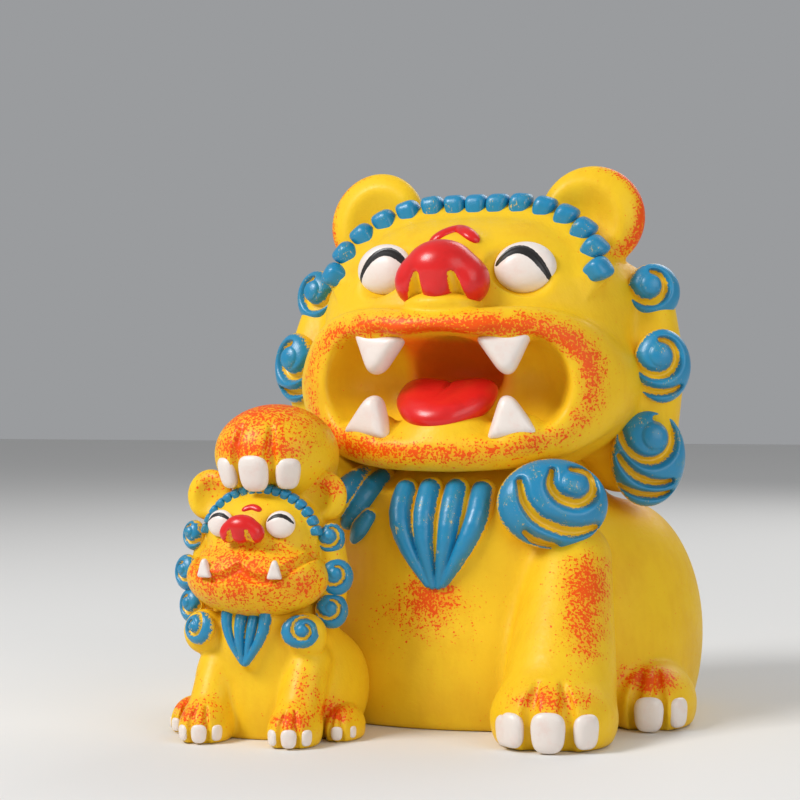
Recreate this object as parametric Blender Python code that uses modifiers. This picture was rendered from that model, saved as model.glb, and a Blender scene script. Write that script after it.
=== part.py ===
"""A seated guardian lion that laughs with one paw on the head of its cub: a painted ornament.

Each piece is shaped by itself, the way a clay figure is built up, and then fitted to the pieces
that carry it with a hairline gap. Metres, +Z up. The lion looks along -Y, and the origin is in
the middle of its flat base.
"""

import math

import bmesh
import bpy
from mathutils import Euler, Matrix, Vector
from mathutils.bvhtree import BVHTree

# The hairline between two pieces, how far a ray starts outside the figure, the distance at which
# doubled points are merged, and the least cosine between a corner's normal and its faces'
FIT_GAP = 0.0003
FAR_AWAY = 0.5
WELD_DISTANCE = 1e-7
SHARPEST_LEAN = 0.4

# Edges that turn by more than this many degrees are shaded sharp
SHARP_ANGLE = 40.0

# Faces round and along an egg, the shape that most pieces are built up from
LUMP_SEGMENTS = 24
LUMP_RINGS = 14

# Torso of the lion: a broad seat with the chest and the neck stub on top
SEAT_WIDTH = 0.104
SEAT_DEPTH = 0.080
SEAT_RISE = 0.044
SEAT_Y = 0.005
SEAT_Z = 0.012
CHEST_WIDTH = 0.074
CHEST_DEPTH = 0.057
CHEST_RISE = 0.022
CHEST_Y = -0.004
CHEST_Z = 0.044
NAPE_WIDTH = 0.060
NAPE_DEPTH = 0.044
NAPE_RISE = 0.024
NAPE_Y = 0.012
NAPE_Z = 0.060
NECK_RADIUS = 0.013
NECK_Y = 0.010
NECK_HEIGHT = 0.016

# Hind legs of the lion: the haunch and the foot in front of it
HAUNCH_X = 0.0358
HAUNCH_Y = 0.014
HAUNCH_WIDTH = 0.042
HAUNCH_DEPTH = 0.052
HAUNCH_RISE = 0.034
HAUNCH_Z = 0.020
HIND_FOOT_X = 0.049
HIND_FOOT_Y = -0.008
HIND_FOOT_WIDTH = 0.021
HIND_FOOT_LENGTH = 0.029
HIND_FOOT_HEIGHT = 0.016
HIND_FOOT_TURN_ANGLE = 8.0

# Foreleg that stands, and the paw at its end
LEG_X = 0.033
LEG_TOP_X = 0.030
LEG_TOP_Y = -0.019
LEG_TOP_DOWN = 0.001
LEG_TOP_RADIUS = 0.012
LEG_ANKLE_Y = -0.036
LEG_ANKLE_Z = 0.016
LEG_ANKLE_RADIUS = 0.0125
PAW_Y = -0.042
PAW_WIDTH = 0.030
PAW_LENGTH = 0.030
PAW_HEIGHT = 0.018
PAW_TURN_ANGLE = 8.0
PAW_DOME = 0.67

# Claws: width, length and thickness of the middle one
CLAW_WIDTH = 0.0084
CLAW_LENGTH = 0.0104
CLAW_THICKNESS = 0.0062
CLAW_SINK = 0.0010
CLAW_SPREAD_ANGLE = 36.0
HIND_CLAW_SCALE = 0.80
RAISED_CLAW_SCALE = 0.88
OUTER_CLAW_SHARE = 0.86
CLAW_UP = 0.45

# Grooves between the toes: radius, points, and the stretch of the paw's height that they part
TOE_GROOVE = 0.0013
HIND_TOE_GROOVE = 0.0009
TOE_STEPS = 5
TOE_LOW = 0.1
TOE_HIGH = 0.8

# Head of the lion: cheeks around the mouth, and the skull above and behind them
CHEEK_WIDTH = 0.090
CHEEK_DEPTH = 0.056
CHEEK_RISE = 0.025
CHEEK_Y = -0.004
HEAD_SETTLE = 0.007
SKULL_WIDTH = 0.086
SKULL_DEPTH = 0.058
SKULL_RISE = 0.0300
SKULL_SPREAD = 0.010
SKULL_BACK = 0.012
SKULL_UP = 0.015
FOREHEAD_WIDTH = 0.060
FOREHEAD_DEPTH = 0.038
FOREHEAD_RISE = 0.0200
FOREHEAD_UP = 0.019

# Mouth: the lip is a thick rounded ring, and the hollow lies inside it
LIP_WIDTH = 0.073
LIP_HEIGHT = 0.033
LIP_RADIUS = 0.0050
LIP_FRONT = 0.0250
LIP_SWEEP = 0.0130
LIP_SAG = 0.0035
LIP_SQUARENESS = 0.78
LIP_STEPS = 28
MOUTH_WIDTH = 0.066
MOUTH_MIDDLE_WIDTH = 0.049
MOUTH_HEIGHT = 0.027
MOUTH_DEPTH = 0.017
MOUTH_FORWARD = 0.0076
POCKET_X = 0.0178
POCKET_BACK = 0.0053
POCKET_DEPTH = 0.0142
THROAT_WIDTH = 0.0220
THROAT_HEIGHT = 0.0170
THROAT_DEPTH = 0.024
THROAT_UP = 0.0027
TONGUE_WIDTH = 0.026
TONGUE_LENGTH = 0.021
TONGUE_THICKNESS = 0.011
TONGUE_BACK = 0.0063
TONGUE_DOWN = 0.0054
TONGUE_DROOP_ANGLE = 26.0
FANG_WIDTH = 0.0125
FANG_LENGTH = 0.0108
FANG_FLATNESS = 0.66
FANG_ROOT = 0.4
FANG_END = 0.28
FANG_BACK = 0.0012
FANG_DOWN = 0.0030
UPPER_FANG_X = 0.0162
LOWER_FANG_X = 0.0187

# Eyes, nose and the mark above the nose, by their height over the middle of the mouth
EYE_X = 0.0183
EYE_UP = 0.0295
EYE_WIDTH = 0.0158
EYE_HEIGHT = 0.0134
EYE_BULGE = 0.0042
EYE_SINK = 0.2
EYE_LOOK_SHARE = 0.55
NOSE_UP = 0.0265
NOSE_WIDTH = 0.0225
NOSE_HEIGHT = 0.0160
NOSE_BULGE = 0.0110
NOSTRIL_RADIUS = 0.0016
MARK_UP = 0.0375
MARK_WIDTH = 0.0100
MARK_RADIUS = 0.0014
MARK_ARCH = 0.3
MARK_STEPS = 7

# Any nose, in shares of its width, bulge and height: the bulb, its two wings and the nostrils
NOSE_BULB = (0.82, 1.5, 1.0)
NOSE_WING = (0.46, 1.25, 0.72)
NOSTRIL_X = 0.20
NOSTRIL_DOWNS = (0.28, 0.20, 0.12)

# Ears
EAR_ROLL_ANGLE = 47.0
EAR_RADIUS = 0.0140
EAR_THICKNESS = 0.0110
EAR_STANDOFF = 0.0045
EAR_DISH_RADIUS = 0.0090
EAR_DISH_DEPTH = 0.0045

# Any ear, in shares of its radius or thickness: how it leans, its humped back and its dish
EAR_LEAN = 0.12
EAR_BACKWARD = 0.02
EAR_HUMP = 0.2
EAR_BACK_SHARE = 0.85
DISH_INWARD = 0.18
DISH_DOWN = 0.12
DISH_STRETCH = 1.1

# Row of short curls over the brow
BROW_LEAN_ANGLE = -18.0
BROW_END_ANGLE = 70.0
BROW_CURLS = 14
BROW_CURL_LENGTH = 0.0070
BROW_CURL_WIDTH = 0.0046
BROW_CURL_HEIGHT = 0.0056
BROW_BAND_RADIUS = 0.0024
BROW_FORWARD = 0.0165
BEAD_TURN = 0.25
BEAD_STANDOFF = 0.15

# Curls of the mane at each side of the head, from the ear down to the shoulder
CURL_RADII = (0.0070, 0.0090, 0.0113)
CURL_HEIGHTS = (0.0235, 0.0045, -0.0185)
CURL_BACKS = (0.0090, 0.0030, 0.0050)
CURL_OUTS = (0.0010, 0.0045, 0.0005)
CURL_THICKNESS_SHARE = 0.85
CURL_LOOK_OUT = 0.58
CURL_LOOK_UP = 0.06
CURL_LOOK_STEP = 0.09

# Any rolled curl, in shares of its radius or thickness: the strand winds out over a domed cushion
CURL_TURNS = 1.35
CURL_STEPS = 24
CURL_START_ANGLE = 200.0
CURL_INNER_REACH = 0.10
CURL_OUTER_REACH = 0.78
CURL_STRAND_START = 0.165
CURL_STRAND_END = 0.242
CURL_DOME = 0.60
CURL_DOME_WIDTH = 1.10
CURL_CUSHION_WIDTH = 1.9
CURL_CUSHION_HEIGHT = 1.7
CURL_CUSHION_SINK = 0.25

# Ridge of the head behind the side curls, in shares of their radius
RIDGE_SINK = 1.05
RIDGE_INWARD = 0.88
RIDGE_SHARE = 0.95

# Curls on the nape, and on the shoulders beside the chest lock
NAPE_CURLS = 3
NAPE_CURL_SPREAD_ANGLE = 38.0
NAPE_CURL_UP = 0.0030
NAPE_CURL_RADIUS = 0.0105
NAPE_CURL_THICKNESS = 0.0063
NAPE_CURL_OUT = 0.0010
NAPE_BAND_RADIUS = 0.0032
SHOULDER_CURL_ANGLE = 62.0
SHOULDER_CURL_UP = 0.0100
SHOULDER_CURL_RADIUS = 0.0130
SHOULDER_CURL_THICKNESS = 0.0065
SHOULDER_CURL_OUT = 0.0050
SHOULDER_CURL_FORWARD = 0.5
SHOULDER_LOCK_ANGLE = 52.0
SHOULDER_LOCK_LENGTH = 0.0170
SHOULDER_LOCK_WIDTH = 0.0130
SHOULDER_LOCK_UP = 0.0160
SHOULDER_LOCK_RIBS = 3
SHOULDER_LOCK_RIB_RADIUS = 0.0028

# The pointed lock on the chest: ribs that run together at the tip
CHEST_LOCK_UP = 0.0150
CHEST_LOCK_LENGTH = 0.0260
CHEST_LOCK_WIDTH = 0.0240
CHEST_LOCK_RIBS = 4
CHEST_LOCK_RIB_RADIUS = 0.0028

# Any ribbed lock: points along a rib, how far it stands off the body, and how much it thins
RIB_STEPS = 7
RIB_STANDOFF = 0.25
RIB_TAPER = 0.45

# Tail: a tuft that rises against the back from its root
TAIL_TUFT_Z = 0.0160
TAIL_TUFT_HEIGHT = 0.0400
TAIL_TUFT_WIDTH = 0.0300
TAIL_ROOT = 0.12
TAIL_RIBS = 5
TAIL_RIB_RADIUS = 0.0032

# Foreleg that is raised: from the shoulder to the paw on the head of the cub
ARM_SHOULDER_X = 0.028
ARM_SHOULDER_Y = -0.010
ARM_SHOULDER_UP = 0.008
ARM_RADIUS = 0.0120
ARM_ELBOW_X = 0.0385
ARM_ELBOW_Y = -0.025
ARM_ELBOW_DOWN = 0.009
ARM_ELBOW_RADIUS = 0.0105
ARM_WRIST_RADIUS = 0.0112
ARM_REACH = 0.85
RAISED_PAW_WIDTH = 0.0295
RAISED_PAW_LENGTH = 0.0300
RAISED_PAW_HEIGHT = 0.0240
RAISED_PAW_BACK = 0.0140
RAISED_PAW_SETTLE = 0.0040
RAISED_TOE_SHARE = 0.3

# The cub: where it sits, and its torso, legs and feet
CUB_X = -0.036
CUB_Y = -0.044
CUB_SEAT_WIDTH = 0.040
CUB_SEAT_DEPTH = 0.032
CUB_SEAT_RISE = 0.024
CUB_SEAT_Z = 0.008
CUB_CHEST_WIDTH = 0.031
CUB_CHEST_DEPTH = 0.026
CUB_CHEST_RISE = 0.012
CUB_CHEST_Z = 0.023
CUB_CHEST_FORWARD = 0.004
CUB_HAUNCH_X = 0.0145
CUB_HAUNCH_WIDTH = 0.018
CUB_HAUNCH_DEPTH = 0.026
CUB_HAUNCH_HEIGHT = 0.027
CUB_HAUNCH_Z = 0.0108
CUB_HAUNCH_BACK = 0.003
CUB_LEG_X = 0.0112
CUB_LEG_FORWARD = 0.0165
CUB_LEG_TOP_FORWARD = 0.0115
CUB_LEG_RADIUS = 0.0062
CUB_LEG_TOP_Z = 0.020
CUB_PAW_WIDTH = 0.0138
CUB_PAW_LENGTH = 0.0160
CUB_PAW_HEIGHT = 0.0090
CUB_PAW_FORWARD = 0.0185
CUB_TOE_GROOVE = 0.0006
CUB_HIND_FOOT_X = 0.0182
CUB_HIND_FOOT_FORWARD = 0.0050
CUB_HIND_FOOT_WIDTH = 0.0090
CUB_HIND_FOOT_HEIGHT = 0.0081

# Head of the cub
CUB_CHEEK_WIDTH = 0.0355
CUB_CHEEK_DEPTH = 0.0230
CUB_CHEEK_RISE = 0.0095
CUB_CHEEK_FORWARD = 0.0120
CUB_CHEEK_Z = 0.0380
CUB_SKULL_WIDTH = 0.0300
CUB_SKULL_DEPTH = 0.0270
CUB_SKULL_RISE = 0.0130
CUB_SKULL_UP = 0.0080
CUB_SKULL_BACK = 0.0070
CUB_MOUTH_WIDTH = 0.0290
CUB_MOUTH_UP = 0.0020
CUB_MOUTH_SAG = 0.0035
CUB_MOUTH_CORNER_RISE = 0.0038
CUB_MOUTH_GROOVE = 0.0009
CUB_MOUTH_STEPS = 13
CUB_FANG_X = 0.0088
CUB_FANG_WIDTH = 0.0032
CUB_FANG_OUT = 0.0004
CUB_FANG_LENGTH = 0.0034
CUB_EYE_X = 0.0076
CUB_EYE_UP = 0.0108
CUB_EYE_WIDTH = 0.0070
CUB_EYE_HEIGHT = 0.0064
CUB_EYE_BULGE = 0.0018
CUB_NOSE_UP = 0.0100
CUB_NOSE_WIDTH = 0.0100
CUB_NOSE_HEIGHT = 0.0068
CUB_NOSE_BULGE = 0.0045
CUB_NOSTRIL_RADIUS = 0.0006
CUB_MARK_UP = 0.0155
CUB_MARK_WIDTH = 0.0044
CUB_MARK_RADIUS = 0.0008
CUB_EAR_RADIUS = 0.0056
CUB_EAR_THICKNESS = 0.0044
CUB_EAR_ROLL_ANGLE = 62.0
CUB_EAR_STANDOFF = 0.0028
CUB_EAR_DISH_RADIUS = 0.0036
CUB_EAR_DISH_DEPTH = 0.0016
CUB_BROW_CURLS = 13
CUB_BROW_END_ANGLE = 80.0
CUB_BROW_FORWARD = 0.002
CUB_BROW_CURL_LENGTH = 0.0030
CUB_BROW_CURL_WIDTH = 0.0020
CUB_BROW_CURL_HEIGHT = 0.0024
CUB_BROW_BAND_RADIUS = 0.0011
CUB_CURL_RADII = (0.0036, 0.0042, 0.0040)
CUB_CURL_HEIGHTS = (0.0090, 0.0005, -0.0070)
CUB_CURL_BACKS = (0.0055, 0.0050, 0.0050)
CUB_CURL_OUTS = (0.0005, 0.0020, 0.0004)
CUB_CURL_THICKNESS_SHARE = 0.75
CUB_CHEST_LOCK_TOP_Z = 0.0300
CUB_CHEST_LOCK_LENGTH = 0.0130
CUB_CHEST_LOCK_WIDTH = 0.0116
CUB_CHEST_LOCK_RIB_RADIUS = 0.0015
CUB_CHEST_CURL_ANGLE = 52.0
CUB_CHEST_CURL_Z = 0.0262
CUB_CHEST_CURL_RADIUS = 0.0050
CUB_CHEST_CURL_THICKNESS = 0.0023

# Grain of the clay while the overlapping shapes of a piece melt together: the size of its faces
TORSO_GRAIN = 0.0022
HEAD_GRAIN = 0.0016
LEG_GRAIN = 0.0013
TONGUE_GRAIN = 0.0011
CUB_BODY_GRAIN = 0.0009
CUB_HEAD_GRAIN = 0.0007

# Grains across a small piece: across its width, or across the radius of a curl, ear, mark or rib
EYE_GRAINS = 16
NOSE_GRAINS = 30
FANG_GRAINS = 16
CLAW_GRAINS = 11
BEAD_GRAINS = 5.2
MARK_GRAINS = 3
EAR_GRAINS = 9
CURL_GRAINS = 14
JOINED_CURL_GRAINS = 10
RIB_GRAINS = 4.4
GROOVE_GRAINS = 2.2

# Smoothing passes over a melted skin: on a body or a head, on an ear, and on a small hard piece
BODY_SMOOTHING = 4
EAR_SMOOTHING = 3
SMALL_SMOOTHING = 1

# Triangles that are left in the skin of each piece
TORSO_TRIANGLES = 540
HEAD_TRIANGLES = 1250
LEG_TRIANGLES = 360
HIND_LEG_TRIANGLES = 320
EAR_TRIANGLES = 240
EYE_TRIANGLES = 130
NOSE_TRIANGLES = 170
MARK_TRIANGLES = 70
TONGUE_TRIANGLES = 200
FANG_TRIANGLES = 60
CLAW_TRIANGLES = 50
BROW_TRIANGLES = 460
CURL_TRIANGLES = 220
SHOULDER_CURL_TRIANGLES = 360
NAPE_CURLS_TRIANGLES = 480
CHEST_LOCK_TRIANGLES = 480
SHOULDER_LOCK_TRIANGLES = 320
TAIL_TRIANGLES = 400
CUB_BODY_TRIANGLES = 640
CUB_HEAD_TRIANGLES = 540
CUB_EAR_TRIANGLES = 110
CUB_EYE_TRIANGLES = 80
CUB_NOSE_TRIANGLES = 100
CUB_MARK_TRIANGLES = 60
CUB_FANG_TRIANGLES = 44
CUB_BROW_TRIANGLES = 280
CUB_MANE_TRIANGLES = 400
CUB_CHEST_LOCK_TRIANGLES = 320
GROOVE_TRIANGLES = 90
CUB_MOUTH_TRIANGLES = 220

# Paint and glaze colours: colour, then roughness
YELLOW = ((0.86, 0.56, 0.02), 0.45)
BLUE = ((0.02, 0.22, 0.52), 0.35)
RED = ((0.70, 0.02, 0.02), 0.30)
WHITE = ((0.86, 0.80, 0.74), 0.40)

placed = []


def collection(name, shown=True):
    """A new collection, in the scene, that is rendered only if shown."""
    made = bpy.data.collections.new(name)
    bpy.context.scene.collection.children.link(made)
    made.hide_render = not shown
    return made


def material(name, finish):
    """A painted surface of one colour and roughness."""
    colour, roughness = finish
    made = bpy.data.materials.new(name)
    made.use_nodes = True
    shader = made.node_tree.nodes["Principled BSDF"]
    shader.inputs["Base Color"].default_value = (*colour, 1.0)
    shader.inputs["Roughness"].default_value = roughness
    shader.inputs["Metallic"].default_value = 0.0
    return made


def lump(bm, centre, size, turn=(0.0, 0.0, 0.0)):
    """Adds an egg of that width, depth and height to bm, turned by angles in degrees."""
    turned = Euler([math.radians(angle) for angle in turn]).to_matrix().to_4x4()
    shape = Matrix.Translation(centre) @ turned @ Matrix.Diagonal((*[s / 2 for s in size], 1.0))
    bmesh.ops.create_uvsphere(
        bm, u_segments=LUMP_SEGMENTS, v_segments=LUMP_RINGS, radius=1.0, matrix=shape
    )


def hull(bm, ends):
    """Adds to bm the tight skin round some eggs, each given by its centre, size and turn."""
    new = bmesh.new()
    for centre, size, turn in ends:
        lump(new, centre, size, turn)
    made = bmesh.ops.convex_hull(new, input=new.verts[:])
    spare = set(made["geom_interior"] + made["geom_unused"])
    inner = [item for item in spare if isinstance(item, bmesh.types.BMVert)]
    bmesh.ops.delete(new, geom=inner, context="VERTS")
    mesh = bpy.data.meshes.new("hull")
    new.to_mesh(mesh)
    new.free()
    bm.from_mesh(mesh)
    bpy.data.meshes.remove(mesh)


def tube(bm, points, radii, closed=False):
    """Adds a round tube through the points, with a radius at each, to bm."""
    curve = bpy.data.curves.new("tube", "CURVE")
    curve.dimensions = "3D"
    curve.bevel_depth = 1.0
    curve.bevel_resolution = 2
    curve.use_fill_caps = not closed
    spline = curve.splines.new("POLY")
    spline.points.add(len(points) - 1)
    spline.use_cyclic_u = closed
    for handle, point, radius in zip(spline.points, points, radii):
        handle.co = (*point, 1.0)
        handle.radius = radius
    guide = bpy.data.objects.new("tube", curve)
    bpy.context.scene.collection.objects.link(guide)
    bpy.context.view_layer.update()
    mesh = bpy.data.meshes.new_from_object(guide.evaluated_get(bpy.context.evaluated_depsgraph_get()))
    bm.from_mesh(mesh)
    bpy.data.objects.remove(guide)
    bpy.data.meshes.remove(mesh)
    bmesh.ops.remove_doubles(bm, verts=bm.verts, dist=WELD_DISTANCE)
    if not closed:
        for point, radius in ((points[0], radii[0]), (points[-1], radii[-1])):
            lump(bm, point, (2 * radius,) * 3)


def object_of(bm, name):
    """A helper object that holds what was built in bm."""
    mesh = bpy.data.meshes.new(name)
    bm.to_mesh(mesh)
    bm.free()
    made = bpy.data.objects.new(name, mesh)
    bpy.context.scene.collection.objects.link(made)
    return made


def apply_modifiers(piece):
    """Replaces the mesh of a piece by what its modifiers make of it."""
    bpy.context.view_layer.update()
    mesh = bpy.data.meshes.new_from_object(piece.evaluated_get(bpy.context.evaluated_depsgraph_get()))
    piece.modifiers.clear()
    piece.data = mesh


def merge_shapes(piece, grain):
    """Melts the overlapping shapes of a piece into one skin, with faces of size grain."""
    remesh = piece.modifiers.new("one_skin", "REMESH")
    remesh.mode = "VOXEL"
    remesh.voxel_size = grain
    apply_modifiers(piece)


def sculpt(name, bm, grain, triangles, hollow=None, soften=SMALL_SMOOTHING):
    """One soft body from the shapes in bm, less those in hollow, with about that many triangles."""
    piece = object_of(bm, name)
    merge_shapes(piece, grain)
    if hollow:
        cutter = object_of(hollow, name + "_hollow")
        merge_shapes(cutter, grain)
        cut(piece, cutter)
        bpy.data.objects.remove(cutter)
        merge_shapes(piece, grain)
    if soften:
        smooth = piece.modifiers.new("soften", "SMOOTH")
        smooth.factor = 0.5
        smooth.iterations = soften
        apply_modifiers(piece)
    thin = piece.modifiers.new("fewer_faces", "DECIMATE")
    thin.ratio = min(1.0, triangles / (2 * len(piece.data.polygons)))
    apply_modifiers(piece)
    return piece


def crosses_itself(piece, tree):
    """Whether two faces of the piece that share no corner run through each other."""
    corners = [set(face.vertices) for face in piece.data.polygons]
    return any(a < b and not corners[a] & corners[b] for a, b in tree.overlap(tree))


def cut(piece, cutter, with_care=False):
    """Takes the cutter's volume out of the piece, with care where a skin crosses itself."""
    boolean = piece.modifiers.new("cut", "BOOLEAN")
    boolean.operation = "DIFFERENCE"
    boolean.solver = "EXACT"
    boolean.object = cutter
    boolean.use_self = with_care
    apply_modifiers(piece)


def cut_at_floor(piece):
    """Gives a piece its flat underside at z = 0."""
    bm = bmesh.new()
    bm.from_mesh(piece.data)
    everything = bm.verts[:] + bm.edges[:] + bm.faces[:]
    made = bmesh.ops.bisect_plane(
        bm, geom=everything, plane_co=(0, 0, 0), plane_no=(0, 0, 1), clear_inner=True
    )
    rim = [item for item in made["geom_cut"] if isinstance(item, bmesh.types.BMEdge)]
    bmesh.ops.edgeloop_fill(bm, edges=rim)
    bm.to_mesh(piece.data)
    bm.free()


def score(piece, bm, radius, triangles):
    """Cuts the fine grooves or holes of that radius in bm into a finished skin."""
    cutter = sculpt(piece.name + "_grooves", bm, radius / GROOVE_GRAINS, triangles, soften=0)
    cut(piece, cutter)
    bpy.data.objects.remove(cutter)
    return piece


def keep_largest(piece):
    """Drops the crumbs that a cut leaves beside the piece."""
    bm = bmesh.new()
    bm.from_mesh(piece.data)
    left = set(bm.faces)
    islands = []
    while left:
        island = [left.pop()]
        for face in island:
            for edge in face.edges:
                if len(edge.link_faces) == 2:
                    beside = left.intersection(edge.link_faces)
                    left -= beside
                    island.extend(beside)
        islands.append(island)
    largest = max(islands, key=len)
    crumbs = [face for island in islands if island is not largest for face in island]
    bmesh.ops.delete(bm, geom=crumbs, context="FACES")
    bm.to_mesh(piece.data)
    bm.free()


def tree_of(piece):
    """Search tree over the faces of a helper's mesh."""
    return BVHTree.FromObject(piece, bpy.context.evaluated_depsgraph_get())


def grown(piece, by):
    """A cutter: the piece, larger by that much all round, and by more where a corner is sharp."""
    cutter = bpy.data.objects.new(piece.name + "_cutter", piece.data.copy())
    helpers.objects.link(cutter)
    cutter.hide_render = True
    cutter.display_type = "WIRE"
    bm = bmesh.new()
    bm.from_mesh(cutter.data)
    for vert in bm.verts:
        lean = min(vert.normal.dot(face.normal) for face in vert.link_faces)
        vert.co += vert.normal * by / max(lean, SHARPEST_LEAN)
    bm.to_mesh(cutter.data)
    bm.free()
    return cutter


def place(piece, finish, on_floor=False):
    """Fits a sculpted piece to all the pieces placed before it, and puts it in the figure."""
    cutter = grown(piece, FIT_GAP)
    tree = tree_of(cutter)
    crossed = crosses_itself(cutter, tree)
    for neighbour, other, other_tree, other_crossed in placed:
        if tree.overlap(other_tree):
            with_care = crossed or other_crossed
            cut(piece, other, with_care)
            if tree_of(piece).overlap(tree_of(neighbour)):
                cut(piece, other, not with_care)
    placed.append((piece, cutter, tree, crossed))
    if on_floor:
        cut_at_floor(piece)
    keep_largest(piece)
    piece.data.materials.clear()
    piece.data.materials.append(finish)
    piece.data.shade_smooth()
    piece.data.set_sharp_from_angle(angle=math.radians(SHARP_ANGLE))
    bpy.context.scene.collection.objects.unlink(piece)
    figure.objects.link(piece)
    return piece


def surface_point(body, inside, direction):
    """Where a line from outside, towards the point inside, first meets the body, and the normal."""
    way = Vector(direction).normalized()
    point, normal, _, _ = tree_of(body).ray_cast(Vector(inside) + way * FAR_AWAY, -way)
    return point, normal


def facing(normal, up=(0, 0, 1)):
    """Rotation whose local Z is the normal and whose local Y leans towards up."""
    z = Vector(normal).normalized()
    x = Vector(up).cross(z).normalized()
    return Matrix((x, z.cross(x), z)).transposed()


def on_surface(point, turn, across, up, out):
    """The world point that lies that far across, up and out on a surface."""
    return Vector(point) + turn @ Vector((across, up, out))


def add_curl(bm, centre, normal, radius, thickness, mirrored):
    """Adds a rolled curl to bm: a domed cushion with a strand that winds out from its middle."""
    turn = facing(normal)
    hand = -1 if mirrored else 1
    angles = [math.degrees(angle) for angle in turn.to_euler()]
    cushion = (CURL_CUSHION_WIDTH * radius, CURL_CUSHION_WIDTH * radius, CURL_CUSHION_HEIGHT * thickness)
    lump(bm, on_surface(centre, turn, 0, 0, -CURL_CUSHION_SINK * thickness), cushion, angles)
    points, radii = [], []
    for step in range(CURL_STEPS):
        share = step / (CURL_STEPS - 1)
        angle = math.radians(CURL_START_ANGLE) - 2 * math.pi * CURL_TURNS * share
        reach = radius * (CURL_INNER_REACH + (CURL_OUTER_REACH - CURL_INNER_REACH) * share)
        rise = CURL_DOME * thickness * math.sqrt(1 - (reach / (CURL_DOME_WIDTH * radius)) ** 2)
        points.append(on_surface(centre, turn, hand * reach * math.cos(angle), reach * math.sin(angle), rise))
        radii.append(radius * (CURL_STRAND_START + (CURL_STRAND_END - CURL_STRAND_START) * share))
    tube(bm, points, radii)


def curl(name, centre, normal, radius, thickness, mirrored, triangles):
    """A piece that is one rolled curl."""
    bm = bmesh.new()
    add_curl(bm, centre, normal, radius, thickness, mirrored)
    return sculpt(name, bm, radius / CURL_GRAINS, triangles)


def hanging_spread(share):
    """How far apart the ribs of a hanging lock are, from 1 at its top to 0 where they meet."""
    return math.cos(share * math.pi / 2) ** 0.75


def rising_spread(share):
    """How far apart the ribs of a rising tuft are: narrow at its root, full, then together at its tip."""
    return math.sin(math.pi * (TAIL_ROOT + (1 - TAIL_ROOT) * share)) ** 0.8


def ribbed_lock(name, body, inside, angle, root_z, rise, width, ribs, rib_radius, triangles, spread):
    """Ribs side by side on the body, from root_z up or down by rise, as far apart as spread says."""
    direction = Vector((math.sin(math.radians(angle)), -math.cos(math.radians(angle)), 0))
    across = Vector((-direction.y, direction.x, 0))
    bm = bmesh.new()
    for rib in range(ribs):
        side = rib / (ribs - 1) - 0.5
        points, radii = [], []
        for step in range(RIB_STEPS):
            share = step / (RIB_STEPS - 1)
            aim = Vector((inside[0], inside[1], root_z + rise * share))
            aim += across * (side * (width - 2 * rib_radius) * spread(share))
            point, _ = surface_point(body, aim, direction)
            points.append(point + direction * RIB_STANDOFF * rib_radius)
            radii.append(rib_radius * (1.0 - RIB_TAPER * share))
        tube(bm, points, radii)
    return sculpt(name, bm, rib_radius / RIB_GRAINS, triangles)


def build_torso():
    """Seat, chest and the neck stub that the head is set on."""
    bm = bmesh.new()
    lump(bm, (0, SEAT_Y, SEAT_Z), (SEAT_WIDTH, SEAT_DEPTH, 2 * SEAT_RISE))
    lump(bm, (0, CHEST_Y, CHEST_Z), (CHEST_WIDTH, CHEST_DEPTH, 2 * CHEST_RISE))
    lump(bm, (0, NAPE_Y, NAPE_Z), (NAPE_WIDTH, NAPE_DEPTH, 2 * NAPE_RISE))
    chest_top = CHEST_Z + CHEST_RISE
    neck = [(0, NECK_Y, CHEST_Z), (0, NECK_Y, chest_top + NECK_HEIGHT - NECK_RADIUS)]
    tube(bm, neck, (NECK_RADIUS, NECK_RADIUS))
    body = sculpt("torso", bm, TORSO_GRAIN, TORSO_TRIANGLES, soften=2 * BODY_SMOOTHING)
    return place(body, yellow, on_floor=True)


def mouth_centre():
    """Middle of the lion's mouth, inside the cheeks."""
    return Vector((0, CHEEK_Y, CHEST_Z + CHEST_RISE + CHEEK_RISE - HEAD_SETTLE))


def skull_centre():
    """Middle of the lion's skull."""
    return mouth_centre() + Vector((0, SKULL_BACK, SKULL_UP))


def curl_centre(side, index):
    """Middle of a curl of the mane at the side of the lion's head."""
    out = side * (CHEEK_WIDTH / 2 + CURL_OUTS[index])
    return mouth_centre() + Vector((out, CURL_BACKS[index], CURL_HEIGHTS[index]))


def side_curl_normal(side, index):
    """The way a curl at the side of the head looks: forwards and outwards, the lower ones down."""
    return Vector((side * CURL_LOOK_OUT, -1.0, CURL_LOOK_UP - CURL_LOOK_STEP * index)).normalized()


def lip_points(steps=LIP_STEPS):
    """The middle line of the lip, a rounded rectangle that sweeps back at the sides."""
    middle = mouth_centre()
    points = []
    for step in range(steps):
        angle = 2 * math.pi * step / steps
        c, s = math.cos(angle), math.sin(angle)
        x = math.copysign(abs(c) ** LIP_SQUARENESS, c) * LIP_WIDTH / 2
        z = math.copysign(abs(s) ** LIP_SQUARENESS, s) * LIP_HEIGHT / 2
        z -= LIP_SAG * max(0.0, s) * math.cos(math.pi * x / LIP_WIDTH) ** 2
        y = -LIP_FRONT + LIP_SWEEP * (2 * x / LIP_WIDTH) ** 2
        points.append(middle + Vector((x, y, z)))
    return points


def lip_point_at(x, sign):
    """Point of the lip's middle line at that x, on the upper side for sign 1 and the lower for -1."""
    half = [point for point in lip_points(4 * LIP_STEPS) if sign * (point.z - mouth_centre().z) > 0]
    return min(half, key=lambda point: abs(point.x - x))


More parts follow.
